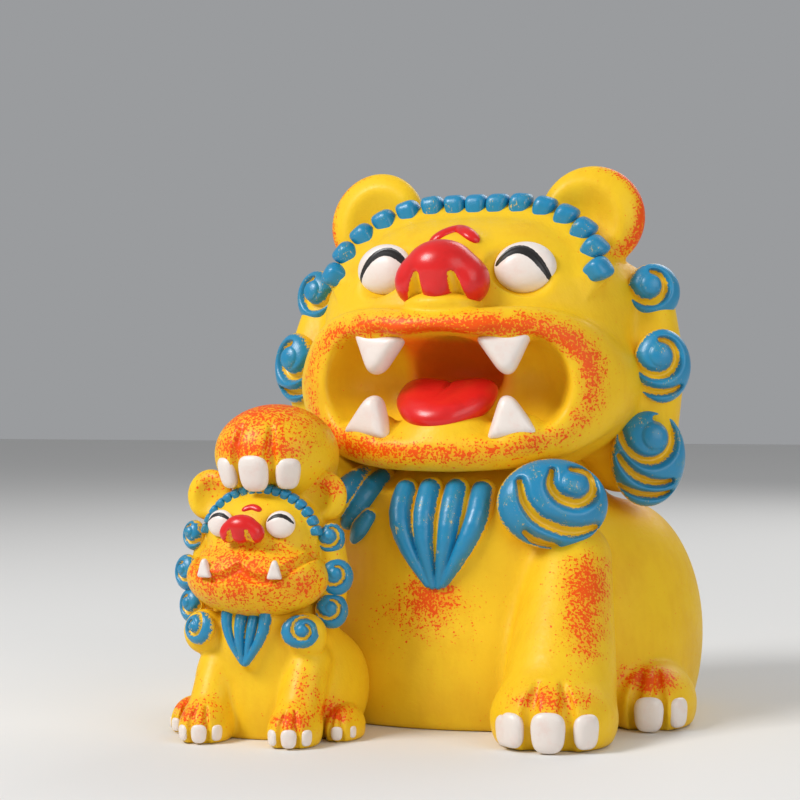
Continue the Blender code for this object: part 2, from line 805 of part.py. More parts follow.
def build_head():
    """Skull, cheeks and lip, with the open mouth hollowed out."""
    middle = mouth_centre()
    bm = bmesh.new()
    lump(bm, middle, (CHEEK_WIDTH, CHEEK_DEPTH, 2 * CHEEK_RISE))
    size = (SKULL_WIDTH - 2 * SKULL_SPREAD, SKULL_DEPTH, 2 * SKULL_RISE)
    spread = Vector((SKULL_SPREAD, 0, 0))
    hull(bm, [(skull_centre() + side * spread, size, (0, 0, 0)) for side in (-1, 1)])
    forehead = middle + Vector((0, 0, FOREHEAD_UP))
    lump(bm, forehead, (FOREHEAD_WIDTH, FOREHEAD_DEPTH, 2 * FOREHEAD_RISE))
    for side in (-1, 1):
        ridge = []
        for index, radius in enumerate(CURL_RADII):
            ridge.append(curl_centre(side, index) - side_curl_normal(side, index) * radius * RIDGE_SINK)
            ridge[-1].x *= RIDGE_INWARD
        tube(bm, ridge, [radius * RIDGE_SHARE for radius in CURL_RADII])
    ring = lip_points()
    tube(bm, ring, [LIP_RADIUS] * len(ring), closed=True)
    hollow = bmesh.new()
    front = middle + Vector((0, -LIP_FRONT - MOUTH_FORWARD, 0))
    lump(hollow, front, (MOUTH_MIDDLE_WIDTH, 2 * (MOUTH_FORWARD + MOUTH_DEPTH), MOUTH_HEIGHT))
    for side in (-1, 1):
        pocket = front + Vector((side * POCKET_X, POCKET_BACK, 0))
        lump(hollow, pocket, (MOUTH_WIDTH - 2 * POCKET_X, 2 * (MOUTH_FORWARD + POCKET_DEPTH), MOUTH_HEIGHT))
    throat = middle + Vector((0, -LIP_FRONT + 0.5 * THROAT_DEPTH, THROAT_UP))
    lump(hollow, throat, (THROAT_WIDTH, 2 * THROAT_DEPTH, THROAT_HEIGHT))
    head = sculpt("head", bm, HEAD_GRAIN, HEAD_TRIANGLES, hollow=hollow, soften=BODY_SMOOTHING)
    return place(head, yellow)


def build_ear(name, head, centre, side, radius, thickness, standoff, roll_angle, dish_radius, dish_depth,
              triangles):
    """A round ear with a dished front."""
    roll = math.radians(roll_angle)
    direction = Vector((side * math.sin(roll), EAR_BACKWARD, math.cos(roll)))
    seat, _ = surface_point(head, centre, direction)
    middle = seat + direction.normalized() * standoff
    turn = facing((side * EAR_LEAN, -1.0, EAR_LEAN))
    angles = [math.degrees(a) for a in turn.to_euler()]
    bm = bmesh.new()
    lump(bm, middle, (2 * radius, 2 * radius, thickness), angles)
    behind = on_surface(middle, turn, 0, 0, -EAR_HUMP * thickness)
    width = 2 * EAR_BACK_SHARE * radius
    lump(bm, behind, (width, width, (1 + EAR_HUMP) * thickness), angles)
    dish = bmesh.new()
    inward = on_surface(middle, turn, -side * DISH_INWARD * radius, -DISH_DOWN * radius, 0.5 * thickness)
    lump(dish, inward, (2 * dish_radius, 2 * DISH_STRETCH * dish_radius, 2 * dish_depth), angles)
    ear = sculpt(name, bm, radius / EAR_GRAINS, triangles, hollow=dish, soften=EAR_SMOOTHING)
    return place(ear, yellow)


def build_eye(name, head, middle, x, up, width, height, bulge, triangles):
    """A domed eye set on the face."""
    aim = middle + Vector((x, 0, up))
    seat, normal = surface_point(head, aim, (0, -1, 0))
    bm = bmesh.new()
    turn = facing((normal.x * EYE_LOOK_SHARE, normal.y, normal.z * EYE_LOOK_SHARE))
    angles = [math.degrees(a) for a in turn.to_euler()]
    lump(bm, seat - normal * EYE_SINK * bulge, (width, height, 2 * (1 + EYE_SINK) * bulge), angles)
    return place(sculpt(name, bm, width / EYE_GRAINS, triangles), white)


def build_nose(name, head, middle, up, width, height, bulge, nostril, triangles):
    """A broad bulb with two nostrils cut up into its lower edge."""
    seat, _ = surface_point(head, middle + Vector((0, 0, up)), (0, -1, 0))
    bm = bmesh.new()
    across, out, up_share = NOSE_BULB
    lump(bm, seat + Vector((0, -0.28 * bulge, 0.06 * height)), (across * width, out * bulge, up_share * height))
    across, out, up_share = NOSE_WING
    for side in (-1, 1):
        wing = Vector((side * 0.28 * width, -0.05 * bulge, -0.10 * height))
        lump(bm, seat + wing, (across * width, out * bulge, up_share * height))
    nose = place(sculpt(name, bm, width / NOSE_GRAINS, triangles), red)
    slots = bmesh.new()
    for side in (-1, 1):
        aims = [seat + Vector((side * NOSTRIL_X * width, 0, -down * height)) for down in NOSTRIL_DOWNS]
        line = [surface_point(nose, aim, (0, -1, 0))[0] for aim in aims]
        below = line[0] + Vector((0, 0, -NOSTRIL_DOWNS[0] * height))
        tube(slots, [below] + line, [nostril] * (1 + len(line)))
    return score(nose, slots, nostril, GROOVE_TRIANGLES)


def build_mark(name, head, middle, up, width, radius, triangles):
    """The small arched ridge between the brows."""
    bm = bmesh.new()
    points, radii = [], []
    for step in range(MARK_STEPS):
        share = 2 * step / (MARK_STEPS - 1) - 1
        aim = middle + Vector((share * width / 2, 0, up + MARK_ARCH * width * (1 - share * share)))
        seat, _ = surface_point(head, aim, (0, -1, 0))
        points.append(seat)
        radii.append(radius * (1.25 - 0.5 * abs(share)))
    tube(bm, points, radii)
    return place(sculpt(name, bm, radius / MARK_GRAINS, triangles), red)


def build_fang(name, root, rise, width, triangles):
    """A blunt tooth, a flattened cone with a rounded end, that rises from its root by rise."""
    bm = bmesh.new()
    end = FANG_END * width
    tip = root + Vector((0, 0, rise - math.copysign(end / 2, rise)))
    foot = (width, FANG_FLATNESS * width, FANG_ROOT * width)
    hull(bm, [(root, foot, (0, 0, 0)), (tip, (end, end, end), (0, 0, 0))])
    return place(sculpt(name, bm, width / FANG_GRAINS, triangles), white)


def build_mouth_parts(head):
    """Tongue and the four fangs."""
    middle = mouth_centre()
    bm = bmesh.new()
    tongue = middle + Vector((0, -LIP_FRONT + TONGUE_BACK, -TONGUE_DOWN))
    lump(bm, tongue, (TONGUE_WIDTH, TONGUE_LENGTH, TONGUE_THICKNESS), (TONGUE_DROOP_ANGLE, 0, 0))
    place(sculpt("tongue", bm, TONGUE_GRAIN, TONGUE_TRIANGLES), red)
    for side, word in ((-1, "right"), (1, "left")):
        for x, sign, row in ((UPPER_FANG_X, 1, "upper"), (LOWER_FANG_X, -1, "lower")):
            root = lip_point_at(side * x, sign) + Vector((0, FANG_BACK, -sign * FANG_DOWN))
            build_fang(f"{row}_fang_{word}", root, -sign * FANG_LENGTH, FANG_WIDTH, FANG_TRIANGLES)


def build_brow_row(name, head, centre, lean, end, count, size, band_radius, triangles):
    """A band over the brow that carries a row of short curls."""
    lean = math.radians(lean)
    up = Vector((0, -math.sin(lean), math.cos(lean)))
    bm = bmesh.new()
    points, turns = [], []
    for index in range(count):
        angle = math.radians(end) * (2 * index / (count - 1) - 1)
        direction = Vector((math.sin(angle), 0, 0)) + up * math.cos(angle)
        seat, normal = surface_point(head, centre, direction)
        points.append(seat)
        turns.append(facing(normal, up=(math.cos(angle), BEAD_TURN, -math.sin(angle))))
    tube(bm, points, [band_radius] * count)
    for seat, turn in zip(points, turns):
        angles = [math.degrees(a) for a in turn.to_euler()]
        lump(bm, on_surface(seat, turn, 0, 0, BEAD_STANDOFF * size[2]), size, angles)
    return place(sculpt(name, bm, size[1] / BEAD_GRAINS, triangles), blue)


def score_toes(paw_object, paw, low, high, turn, radius):
    """Two upright grooves in the front of a paw that looks along the turn, which part its three toes."""
    grooves = bmesh.new()
    for side in (-1, 1):
        angle = math.radians(turn + side * CLAW_SPREAD_ANGLE / 2)
        out = (math.sin(angle), -math.cos(angle), 0)
        heights = [low + (high - low) * step / (TOE_STEPS - 1) for step in range(TOE_STEPS)]
        line = [surface_point(paw_object, Vector((paw.x, paw.y, height)), out)[0] for height in heights]
        tube(grooves, line, [radius] * TOE_STEPS)
    score(paw_object, grooves, radius, GROOVE_TRIANGLES)


def build_claws(stem, paw_object, paw, height, angle, scale):
    """Three claws side by side at that height on the front of a paw that looks along the angle."""
    for index, word in ((-1, "inner"), (0, "middle"), (1, "outer")):
        turn = angle + index * CLAW_SPREAD_ANGLE
        out = Vector((math.sin(math.radians(turn)), -math.cos(math.radians(turn)), 0))
        seat, _ = surface_point(paw_object, Vector((paw.x, paw.y, height)), out)
        share = scale * (OUTER_CLAW_SHARE if index else 1.0)
        bm = bmesh.new()
        width, length = CLAW_WIDTH * share, CLAW_LENGTH * share
        middle = seat - out * CLAW_SINK * scale
        reach = Vector((0, 0, 0.5 * length - 0.25 * width))
        end = (width, CLAW_THICKNESS * scale, 0.5 * width)
        hull(bm, [(middle + reach, end, (0, 0, turn)), (middle - reach, end, (0, 0, turn))])
        piece = sculpt(f"{stem}_claw_{word}", bm, CLAW_WIDTH * scale / CLAW_GRAINS, CLAW_TRIANGLES)
        place(piece, white, on_floor=height < CLAW_LENGTH)


def build_standing_leg():
    """The lion's left foreleg, which stands in front of the chest, with its claws."""
    paw = Vector((LEG_X, PAW_Y, PAW_HEIGHT * (1 - PAW_DOME)))
    bm = bmesh.new()
    bones = [(LEG_TOP_X, LEG_TOP_Y, CHEST_Z - LEG_TOP_DOWN), (LEG_X, LEG_ANKLE_Y, LEG_ANKLE_Z)]
    tube(bm, bones, (LEG_TOP_RADIUS, LEG_ANKLE_RADIUS))
    lump(bm, paw, (PAW_WIDTH, PAW_LENGTH, 2 * PAW_DOME * PAW_HEIGHT))
    leg = sculpt("left_foreleg", bm, LEG_GRAIN, LEG_TRIANGLES, soften=BODY_SMOOTHING)
    place(leg, yellow, on_floor=True)
    score_toes(leg, paw, TOE_LOW * PAW_HEIGHT, TOE_HIGH * PAW_HEIGHT, PAW_TURN_ANGLE, TOE_GROOVE)
    build_claws("left_paw", leg, paw, CLAW_UP * CLAW_LENGTH, PAW_TURN_ANGLE, 1.0)


def build_hind_legs():
    """Both haunches, each with its foot and claws."""
    for side, word in ((1, "left"), (-1, "right")):
        foot = Vector((side * HIND_FOOT_X, HIND_FOOT_Y, HIND_FOOT_HEIGHT * (1 - PAW_DOME)))
        bm = bmesh.new()
        lump(bm, (side * HAUNCH_X, HAUNCH_Y, HAUNCH_Z), (HAUNCH_WIDTH, HAUNCH_DEPTH, 2 * HAUNCH_RISE))
        lump(bm, foot, (HIND_FOOT_WIDTH, HIND_FOOT_LENGTH, 2 * PAW_DOME * HIND_FOOT_HEIGHT))
        leg = sculpt(word + "_hind_leg", bm, LEG_GRAIN, HIND_LEG_TRIANGLES, soften=BODY_SMOOTHING)
        place(leg, yellow, on_floor=True)
        turn = side * HIND_FOOT_TURN_ANGLE
        score_toes(leg, foot, TOE_LOW * HIND_FOOT_HEIGHT, TOE_HIGH * HIND_FOOT_HEIGHT, turn, HIND_TOE_GROOVE)
        build_claws(word + "_foot", leg, foot, CLAW_UP * CLAW_LENGTH * HIND_CLAW_SCALE, turn, HIND_CLAW_SCALE)


def cub_at(x, forward, z):
    """World place of a point of the cub: across, towards its front, and up."""
    return Vector((CUB_X + x, CUB_Y - forward, z))


def cub_mouth_centre():
    """Middle of the cub's closed mouth, inside the cheeks."""
    return cub_at(0, CUB_CHEEK_FORWARD, CUB_CHEEK_Z)


def cub_skull_centre():
    """Middle of the cub's skull."""
    return cub_mouth_centre() + Vector((0, CUB_SKULL_BACK, CUB_SKULL_UP))


def build_raised_arm():
    """The lion's right foreleg, raised, with its paw on the cub's skull."""
    skull_top = cub_skull_centre().z + CUB_SKULL_RISE
    paw = Vector((CUB_X, CUB_Y, skull_top - RAISED_PAW_SETTLE + RAISED_PAW_HEIGHT / 2))
    paw.y += RAISED_PAW_BACK - RAISED_PAW_LENGTH / 2
    bm = bmesh.new()
    lump(bm, paw, (RAISED_PAW_WIDTH, RAISED_PAW_LENGTH, RAISED_PAW_HEIGHT))
    shoulder = Vector((-ARM_SHOULDER_X, ARM_SHOULDER_Y, CHEST_Z + ARM_SHOULDER_UP))
    elbow = Vector((-ARM_ELBOW_X, ARM_ELBOW_Y, paw.z - ARM_ELBOW_DOWN))
    bones = [shoulder, elbow, shoulder.lerp(paw, ARM_REACH)]
    tube(bm, bones, (ARM_RADIUS, ARM_ELBOW_RADIUS, ARM_WRIST_RADIUS))
    arm = sculpt("right_foreleg", bm, LEG_GRAIN, LEG_TRIANGLES, soften=BODY_SMOOTHING)
    place(arm, yellow)
    reach = RAISED_TOE_SHARE * RAISED_PAW_HEIGHT
    score_toes(arm, paw, paw.z - reach, paw.z + reach, 0, TOE_GROOVE)
    build_claws("right_paw", arm, paw, paw.z - reach / 2, 0, RAISED_CLAW_SCALE)


def build_mane(head, torso):
    """Side curls, nape curls, shoulder curl and lock, and the pointed lock on the chest."""
    for side, word in ((1, "left"), (-1, "right")):
        for index, radius in enumerate(CURL_RADII):
            name = f"mane_curl_{word}_{index + 1}"
            seat, look = curl_centre(side, index), side_curl_normal(side, index)
            thickness = CURL_THICKNESS_SHARE * radius
            place(curl(name, seat, look, radius, thickness, side < 0, CURL_TRIANGLES), blue)
    bm = bmesh.new()
    seats = []
    for index in range(NAPE_CURLS):
        angle = math.radians(NAPE_CURL_SPREAD_ANGLE * (index - (NAPE_CURLS - 1) / 2))
        inside = mouth_centre() + Vector((0, 0, NAPE_CURL_UP))
        seat, normal = surface_point(head, inside, (math.sin(angle), math.cos(angle), 0))
        seats.append(seat)
        add_curl(bm, seat + normal * NAPE_CURL_OUT, normal, NAPE_CURL_RADIUS, NAPE_CURL_THICKNESS, angle < 0)
    tube(bm, seats, [NAPE_BAND_RADIUS] * NAPE_CURLS)
    grain = NAPE_CURL_RADIUS / JOINED_CURL_GRAINS
    place(sculpt("nape_curls", bm, grain, NAPE_CURLS_TRIANGLES), blue)
    place(ribbed_lock(
        "chest_lock", torso, (0, CHEST_Y), 0, CHEST_Z + CHEST_LOCK_UP, -CHEST_LOCK_LENGTH, CHEST_LOCK_WIDTH,
        CHEST_LOCK_RIBS, CHEST_LOCK_RIB_RADIUS, CHEST_LOCK_TRIANGLES, hanging_spread), blue)
    place(ribbed_lock(
        "shoulder_lock", torso, (0, CHEST_Y), -SHOULDER_LOCK_ANGLE, CHEST_Z + SHOULDER_LOCK_UP,
        -SHOULDER_LOCK_LENGTH, SHOULDER_LOCK_WIDTH, SHOULDER_LOCK_RIBS, SHOULDER_LOCK_RIB_RADIUS, SHOULDER_LOCK_TRIANGLES,
        hanging_spread), blue)
    angle = math.radians(SHOULDER_CURL_ANGLE)
    aim = (0, CHEST_Y, CHEST_Z + SHOULDER_CURL_UP)
    seat, normal = surface_point(torso, aim, (math.sin(angle), -math.cos(angle), 0))
    look = normal.lerp(Vector((0, -1, 0)), SHOULDER_CURL_FORWARD).normalized()
    seat += normal * SHOULDER_CURL_OUT
    place(curl("shoulder_curl", seat, look, SHOULDER_CURL_RADIUS, SHOULDER_CURL_THICKNESS, False,
               SHOULDER_CURL_TRIANGLES), blue)


def build_tail(torso):
    """A ribbed tuft that rises against the back."""
    place(ribbed_lock("tail", torso, (0, SEAT_Y), 180, TAIL_TUFT_Z, TAIL_TUFT_HEIGHT, TAIL_TUFT_WIDTH,
                      TAIL_RIBS, TAIL_RIB_RADIUS, TAIL_TRIANGLES, rising_spread), blue)


def build_cub_body():
    """Torso, haunches, forelegs and feet of the cub, in one piece."""
    bm = bmesh.new()
    lump(bm, cub_at(0, 0, CUB_SEAT_Z), (CUB_SEAT_WIDTH, CUB_SEAT_DEPTH, 2 * CUB_SEAT_RISE))
    lump(bm, cub_at(0, CUB_CHEST_FORWARD, CUB_CHEST_Z), (CUB_CHEST_WIDTH, CUB_CHEST_DEPTH, 2 * CUB_CHEST_RISE))
    paws = []
    for side in (-1, 1):
        haunch = cub_at(side * CUB_HAUNCH_X, -CUB_HAUNCH_BACK, CUB_HAUNCH_Z)
        lump(bm, haunch, (CUB_HAUNCH_WIDTH, CUB_HAUNCH_DEPTH, CUB_HAUNCH_HEIGHT))
        leg_x = side * CUB_LEG_X
        top = cub_at(leg_x, CUB_LEG_TOP_FORWARD, CUB_LEG_TOP_Z)
        ankle = cub_at(leg_x, CUB_LEG_FORWARD, CUB_LEG_RADIUS)
        tube(bm, [top, ankle], (CUB_LEG_RADIUS, CUB_LEG_RADIUS))
        low = CUB_PAW_HEIGHT * (1 - PAW_DOME)
        paws.append(cub_at(leg_x, CUB_PAW_FORWARD, low))
        lump(bm, paws[-1], (CUB_PAW_WIDTH, CUB_PAW_LENGTH, 2 * PAW_DOME * CUB_PAW_HEIGHT))
        foot = cub_at(side * CUB_HIND_FOOT_X, CUB_HIND_FOOT_FORWARD, low)
        lump(bm, foot, (CUB_HIND_FOOT_WIDTH, CUB_PAW_LENGTH, 2 * PAW_DOME * CUB_HIND_FOOT_HEIGHT))
    body = sculpt("cub_body", bm, CUB_BODY_GRAIN, CUB_BODY_TRIANGLES, soften=BODY_SMOOTHING)
    place(body, yellow, on_floor=True)
    for paw in paws:
        score_toes(body, paw, TOE_LOW * CUB_PAW_HEIGHT, TOE_HIGH * CUB_PAW_HEIGHT, 0, CUB_TOE_GROOVE)
    return body


def cub_mouth_line():
    """The closed mouth as seen from the front: two sagging arcs that meet in the middle."""
    for step in range(CUB_MOUTH_STEPS):
        share = 2 * step / (CUB_MOUTH_STEPS - 1) - 1
        rise = CUB_MOUTH_CORNER_RISE * share * share - CUB_MOUTH_SAG * math.sin(math.pi * abs(share))
        yield Vector((share * CUB_MOUTH_WIDTH / 2, 0, CUB_MOUTH_UP + rise))


def build_cub_head():
    """Skull and puffed cheeks of the cub."""
    bm = bmesh.new()
    lump(bm, cub_mouth_centre(), (CUB_CHEEK_WIDTH, CUB_CHEEK_DEPTH, 2 * CUB_CHEEK_RISE))
    lump(bm, cub_skull_centre(), (CUB_SKULL_WIDTH, CUB_SKULL_DEPTH, 2 * CUB_SKULL_RISE))
    head = sculpt("cub_head", bm, CUB_HEAD_GRAIN, CUB_HEAD_TRIANGLES, soften=BODY_SMOOTHING)
    return place(head, yellow)


def build_cub_face(head):
    """Eyes, nose, brow mark, fangs, ears and brow row of the cub."""
    middle = cub_mouth_centre()
    build_nose("cub_nose", head, middle, CUB_NOSE_UP, CUB_NOSE_WIDTH, CUB_NOSE_HEIGHT, CUB_NOSE_BULGE,
               CUB_NOSTRIL_RADIUS, CUB_NOSE_TRIANGLES)
    for side, word in ((1, "left"), (-1, "right")):
        build_eye("cub_eye_" + word, head, middle, side * CUB_EYE_X, CUB_EYE_UP, CUB_EYE_WIDTH, CUB_EYE_HEIGHT,
                  CUB_EYE_BULGE, CUB_EYE_TRIANGLES)
        build_ear("cub_ear_" + word, head, cub_skull_centre(), side, CUB_EAR_RADIUS, CUB_EAR_THICKNESS,
                  CUB_EAR_STANDOFF, CUB_EAR_ROLL_ANGLE, CUB_EAR_DISH_RADIUS, CUB_EAR_DISH_DEPTH,
                  CUB_EAR_TRIANGLES)
        aim = middle + Vector((side * CUB_FANG_X, 0, 0))
        seat, _ = surface_point(head, aim, (0, -1, 0))
        seat.y -= CUB_FANG_OUT
        build_fang("cub_fang_" + word, seat, CUB_FANG_LENGTH, CUB_FANG_WIDTH, CUB_FANG_TRIANGLES)
    build_mark("cub_brow_mark", head, middle, CUB_MARK_UP, CUB_MARK_WIDTH, CUB_MARK_RADIUS, CUB_MARK_TRIANGLES)
    bead = (CUB_BROW_CURL_LENGTH, CUB_BROW_CURL_WIDTH, CUB_BROW_CURL_HEIGHT)
    centre = cub_skull_centre() - Vector((0, CUB_BROW_FORWARD, 0))
    build_brow_row("cub_brow_row", head, centre, BROW_LEAN_ANGLE, CUB_BROW_END_ANGLE, CUB_BROW_CURLS, bead,
                   CUB_BROW_BAND_RADIUS, CUB_BROW_TRIANGLES)


def score_cub_mouth(head):
    """Cuts the closed mouth into the cub's muzzle, between the fangs."""
    line = [surface_point(head, cub_mouth_centre() + offset, (0, -1, 0))[0] for offset in cub_mouth_line()]
    groove = bmesh.new()
    tube(groove, line, [CUB_MOUTH_GROOVE] * len(line))
    score(head, groove, CUB_MOUTH_GROOVE, CUB_MOUTH_TRIANGLES)


def build_cub_mane(body):
    """A column of three joined curls at each side of the cub's head, and the locks on its chest."""
    for side, word in ((1, "left"), (-1, "right")):
        bm = bmesh.new()
        centres = []
        for radius, height, back, out in zip(CUB_CURL_RADII, CUB_CURL_HEIGHTS, CUB_CURL_BACKS, CUB_CURL_OUTS):
            reach = side * (CUB_CHEEK_WIDTH / 2 + out)
            centres.append(cub_mouth_centre() + Vector((reach, back, height)))
            look = Vector((side * CURL_LOOK_OUT, -1.0, 0.0))
            add_curl(bm, centres[-1], look, radius, CUB_CURL_THICKNESS_SHARE * radius, side < 0)
        tube(bm, centres, [radius / 2 for radius in CUB_CURL_RADII])
        grain = min(CUB_CURL_RADII) / JOINED_CURL_GRAINS
        place(sculpt("cub_mane_" + word, bm, grain, CUB_MANE_TRIANGLES), blue)
        angle = math.radians(side * CUB_CHEST_CURL_ANGLE)
        aim = cub_at(0, CUB_CHEST_FORWARD, CUB_CHEST_CURL_Z)
        seat, normal = surface_point(body, aim, (math.sin(angle), -math.cos(angle), 0))
        place(curl("cub_chest_curl_" + word, seat, normal, CUB_CHEST_CURL_RADIUS, CUB_CHEST_CURL_THICKNESS,
                   side < 0, CURL_TRIANGLES), blue)
    place(ribbed_lock(
        "cub_chest_lock", body, cub_at(0, CUB_CHEST_FORWARD, 0), 0, CUB_CHEST_LOCK_TOP_Z,
        -CUB_CHEST_LOCK_LENGTH, CUB_CHEST_LOCK_WIDTH, CHEST_LOCK_RIBS, CUB_CHEST_LOCK_RIB_RADIUS,
        CUB_CHEST_LOCK_TRIANGLES, hanging_spread), blue)


def build_face(head):
    """Nose, eyes, ears, brow mark and brow row of the lion."""
    middle = mouth_centre()
    build_nose("nose", head, middle, NOSE_UP, NOSE_WIDTH, NOSE_HEIGHT, NOSE_BULGE, NOSTRIL_RADIUS,
               NOSE_TRIANGLES)
    for side, word in ((1, "left"), (-1, "right")):
        build_eye("eye_" + word, head, middle, side * EYE_X, EYE_UP, EYE_WIDTH, EYE_HEIGHT, EYE_BULGE,
                  EYE_TRIANGLES)
        build_ear("ear_" + word, head, skull_centre(), side, EAR_RADIUS, EAR_THICKNESS, EAR_STANDOFF,
                  EAR_ROLL_ANGLE, EAR_DISH_RADIUS, EAR_DISH_DEPTH, EAR_TRIANGLES)
    build_mark("brow_mark", head, middle, MARK_UP, MARK_WIDTH, MARK_RADIUS, MARK_TRIANGLES)
    bead = (BROW_CURL_LENGTH, BROW_CURL_WIDTH, BROW_CURL_HEIGHT)
    centre = skull_centre() - Vector((0, BROW_FORWARD, 0))
    build_brow_row("brow_row", head, centre, BROW_LEAN_ANGLE, BROW_END_ANGLE, BROW_CURLS, bead,
                   BROW_BAND_RADIUS, BROW_TRIANGLES)


for leftover in list(bpy.data.objects):
    bpy.data.objects.remove(leftover)

figure = collection("guardian_lion_with_cub")
helpers = collection("cutters", shown=False)
yellow = material("yellow_paint", YELLOW)
blue = material("blue_paint", BLUE)
red = material("red_paint", RED)
white = material("white_paint", WHITE)

torso_piece = build_torso()
head_piece = build_head()
build_mane(head_piece, torso_piece)
build_standing_leg()
build_hind_legs()
cub_head_piece = build_cub_head()
cub_body_piece = build_cub_body()
build_raised_arm()
build_face(head_piece)
build_mouth_parts(head_piece)
build_tail(torso_piece)
build_cub_face(cub_head_piece)
build_cub_mane(cub_body_piece)
score_cub_mouth(cub_head_piece)
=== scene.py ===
"""Looks of a painted guardian lion with its cub, made around the fixed frame of the solid model.

The big yellow forms, the noses and the locks are blended fields, whose skins are worked out on a
numpy grid. Eyes, curls, beads, fangs and claws are surfaces of two parameters. Shapes are worked
out in millimetres in the frame's axes (the lion looks along -Y, +Z is up), and become metres when a
mesh is made. In a table of eggs, a row is an egg's middle, its radii and how softly it melts into
the eggs before it.
"""

from collections import namedtuple
import bpy
import numpy as np
from bpy.props import FloatProperty, FloatVectorProperty, IntProperty, PointerProperty
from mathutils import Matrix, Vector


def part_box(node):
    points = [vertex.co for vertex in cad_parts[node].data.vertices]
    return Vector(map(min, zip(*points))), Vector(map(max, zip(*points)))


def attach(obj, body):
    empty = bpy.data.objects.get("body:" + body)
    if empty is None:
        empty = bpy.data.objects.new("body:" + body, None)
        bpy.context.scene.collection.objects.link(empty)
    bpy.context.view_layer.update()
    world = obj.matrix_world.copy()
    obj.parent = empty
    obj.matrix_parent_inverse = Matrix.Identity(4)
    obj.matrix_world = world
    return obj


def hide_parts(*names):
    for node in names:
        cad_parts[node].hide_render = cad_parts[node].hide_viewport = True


bl_info = {
    "name": "Painted guardian lion",
    "version": (1, 0, 0),
    "blender": (4, 5, 0),
    "location": "View3D > Sidebar > Lion",
    "description": "Builds the painted surfaces of a guardian lion ornament and its cub",
    "category": "Add Mesh",
}

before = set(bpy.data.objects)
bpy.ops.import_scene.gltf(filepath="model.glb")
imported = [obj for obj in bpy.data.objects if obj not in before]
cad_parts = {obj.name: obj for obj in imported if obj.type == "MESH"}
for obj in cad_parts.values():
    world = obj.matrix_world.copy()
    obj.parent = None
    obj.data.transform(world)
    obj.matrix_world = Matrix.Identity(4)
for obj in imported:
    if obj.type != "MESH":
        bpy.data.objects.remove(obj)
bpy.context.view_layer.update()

MM = 0.001
SIDES = ((1, "left"), (-1, "right"))

# Boxes that hold the skins, in millimetres
BODY_BOX = ((-62, -62, -2), (62, 48, 88))
HEAD_BOX = ((-56, -40, 50), (56, 42, 144))
CUB_BODY_BOX = ((-62, -73, -1.5), (-10, -22, 40))
CUB_HEAD_BOX = ((-60, -71, 24), (-12, -32, 68))

# How round the skins are where they stand on the floor
FLOOR_SOFT = 1.4
CUB_FLOOR_SOFT = 0.9

# A paw: its egg, the turn of its toes in degrees, the heights, radius and softness of the creases between
# them, and the height and scale of its claws
Paw = namedtuple("Paw", "at radii turn low high crease soft claw_height claw_scale")
STANDING_PAW = Paw((33.0, -42.0, 6.0), (15, 15, 12.2), 10, 0, 15.6, 2.3, 0.5, 4.9, 1.0)
RAISED_PAW = Paw((-36.0, -45.0, 67.0), (14.8, 14.8, 12), 0, 57, 74.5, 1.5, 0.45, 62.6, 0.95)
HIND_FOOT = Paw((49.0, -8.0, 5.3), (10.4, 14.3, 10.7), 8, 0, 14.4, 1.95, 0.45, 4.5, 0.9)
CUB_PAW = Paw((11.3, -18.2, 3.2), (6.2, 7.6, 6.4), 12, 0, 8.6, 0.9, 0.3, 2.6, 0.46)
CUB_FOOT = Paw((20.0, -6, 2.6), (4.2, 7.6, 5.6), 6, 0, 7.0, 0.75, 0.3, 2.3, 0.34)
CREASE_TAPER = np.array((1, 1, 0.9, 0.3))
CLAW_SPREAD = 36.0
CLAW_SIZE = (7.8, 9.4)
OUTER_CLAW = (0.80, 0.86)
CLAW_SINK = 0.35
CLAW_BULGE = 1.5

# The lion's body: seat, chest and nape; a haunch; the bones of the leg that stands and of the raised arm
BODY_EGGS = (((0, 5, 12), (52, 40, 44), 0), ((0, -4, 44), (37, 28.5, 22), 9), ((0, 12, 60), (30, 22, 24), 9))
HAUNCH = ((35.8, 14, 20), (20.4, 26, 34), 7)
STANDING_LEG = ((31.3, -20, 41), (32.6, -34.5, 15), 9.8, 13.2)
RAISED_ARM = (((-28, -10, 52), (-38.5, -25, 58), (-36, -38, 64.5)), (12, 10.5, 11.2))

# The lion's head: middles of mouth and skull, half sizes, and how far the skull is drawn out sideways
MOUTH = np.array((0.0, -4.0, 84.0))
JAW_HALF = (45, 28, 25)
SKULL = np.array((0.0, 8.0, 99.0))
SKULL_HALF = (43, 29, 30)
SKULL_SPREAD = 10.0
FOREHEAD = ((0, -4, 103), (30, 19, 20), 6)

# The brow row stands in a leaning plane through this point, up to this angle from its top
BROW_CENTRE = np.array((0.0, -16.8, 97.0))
BROW_LEAN = np.radians(-30.0)
BROW_END = np.radians(64.0)
BROW_RIDGE = 2.6
BROW_BEAD = (5.6, 8.4, 6.8)

# Lip: a rounded rectangle of these half sizes, its roundness, thickness, place, backward sweep and sag
LIP_HALF = (36.5, 16.5)
LIP_ROUNDNESS = 2.6
LIP_RADIUS = 5.0
LIP_FRONT = -29.0
LIP_SWEEP = 13.0
LIP_SAG = 3.5

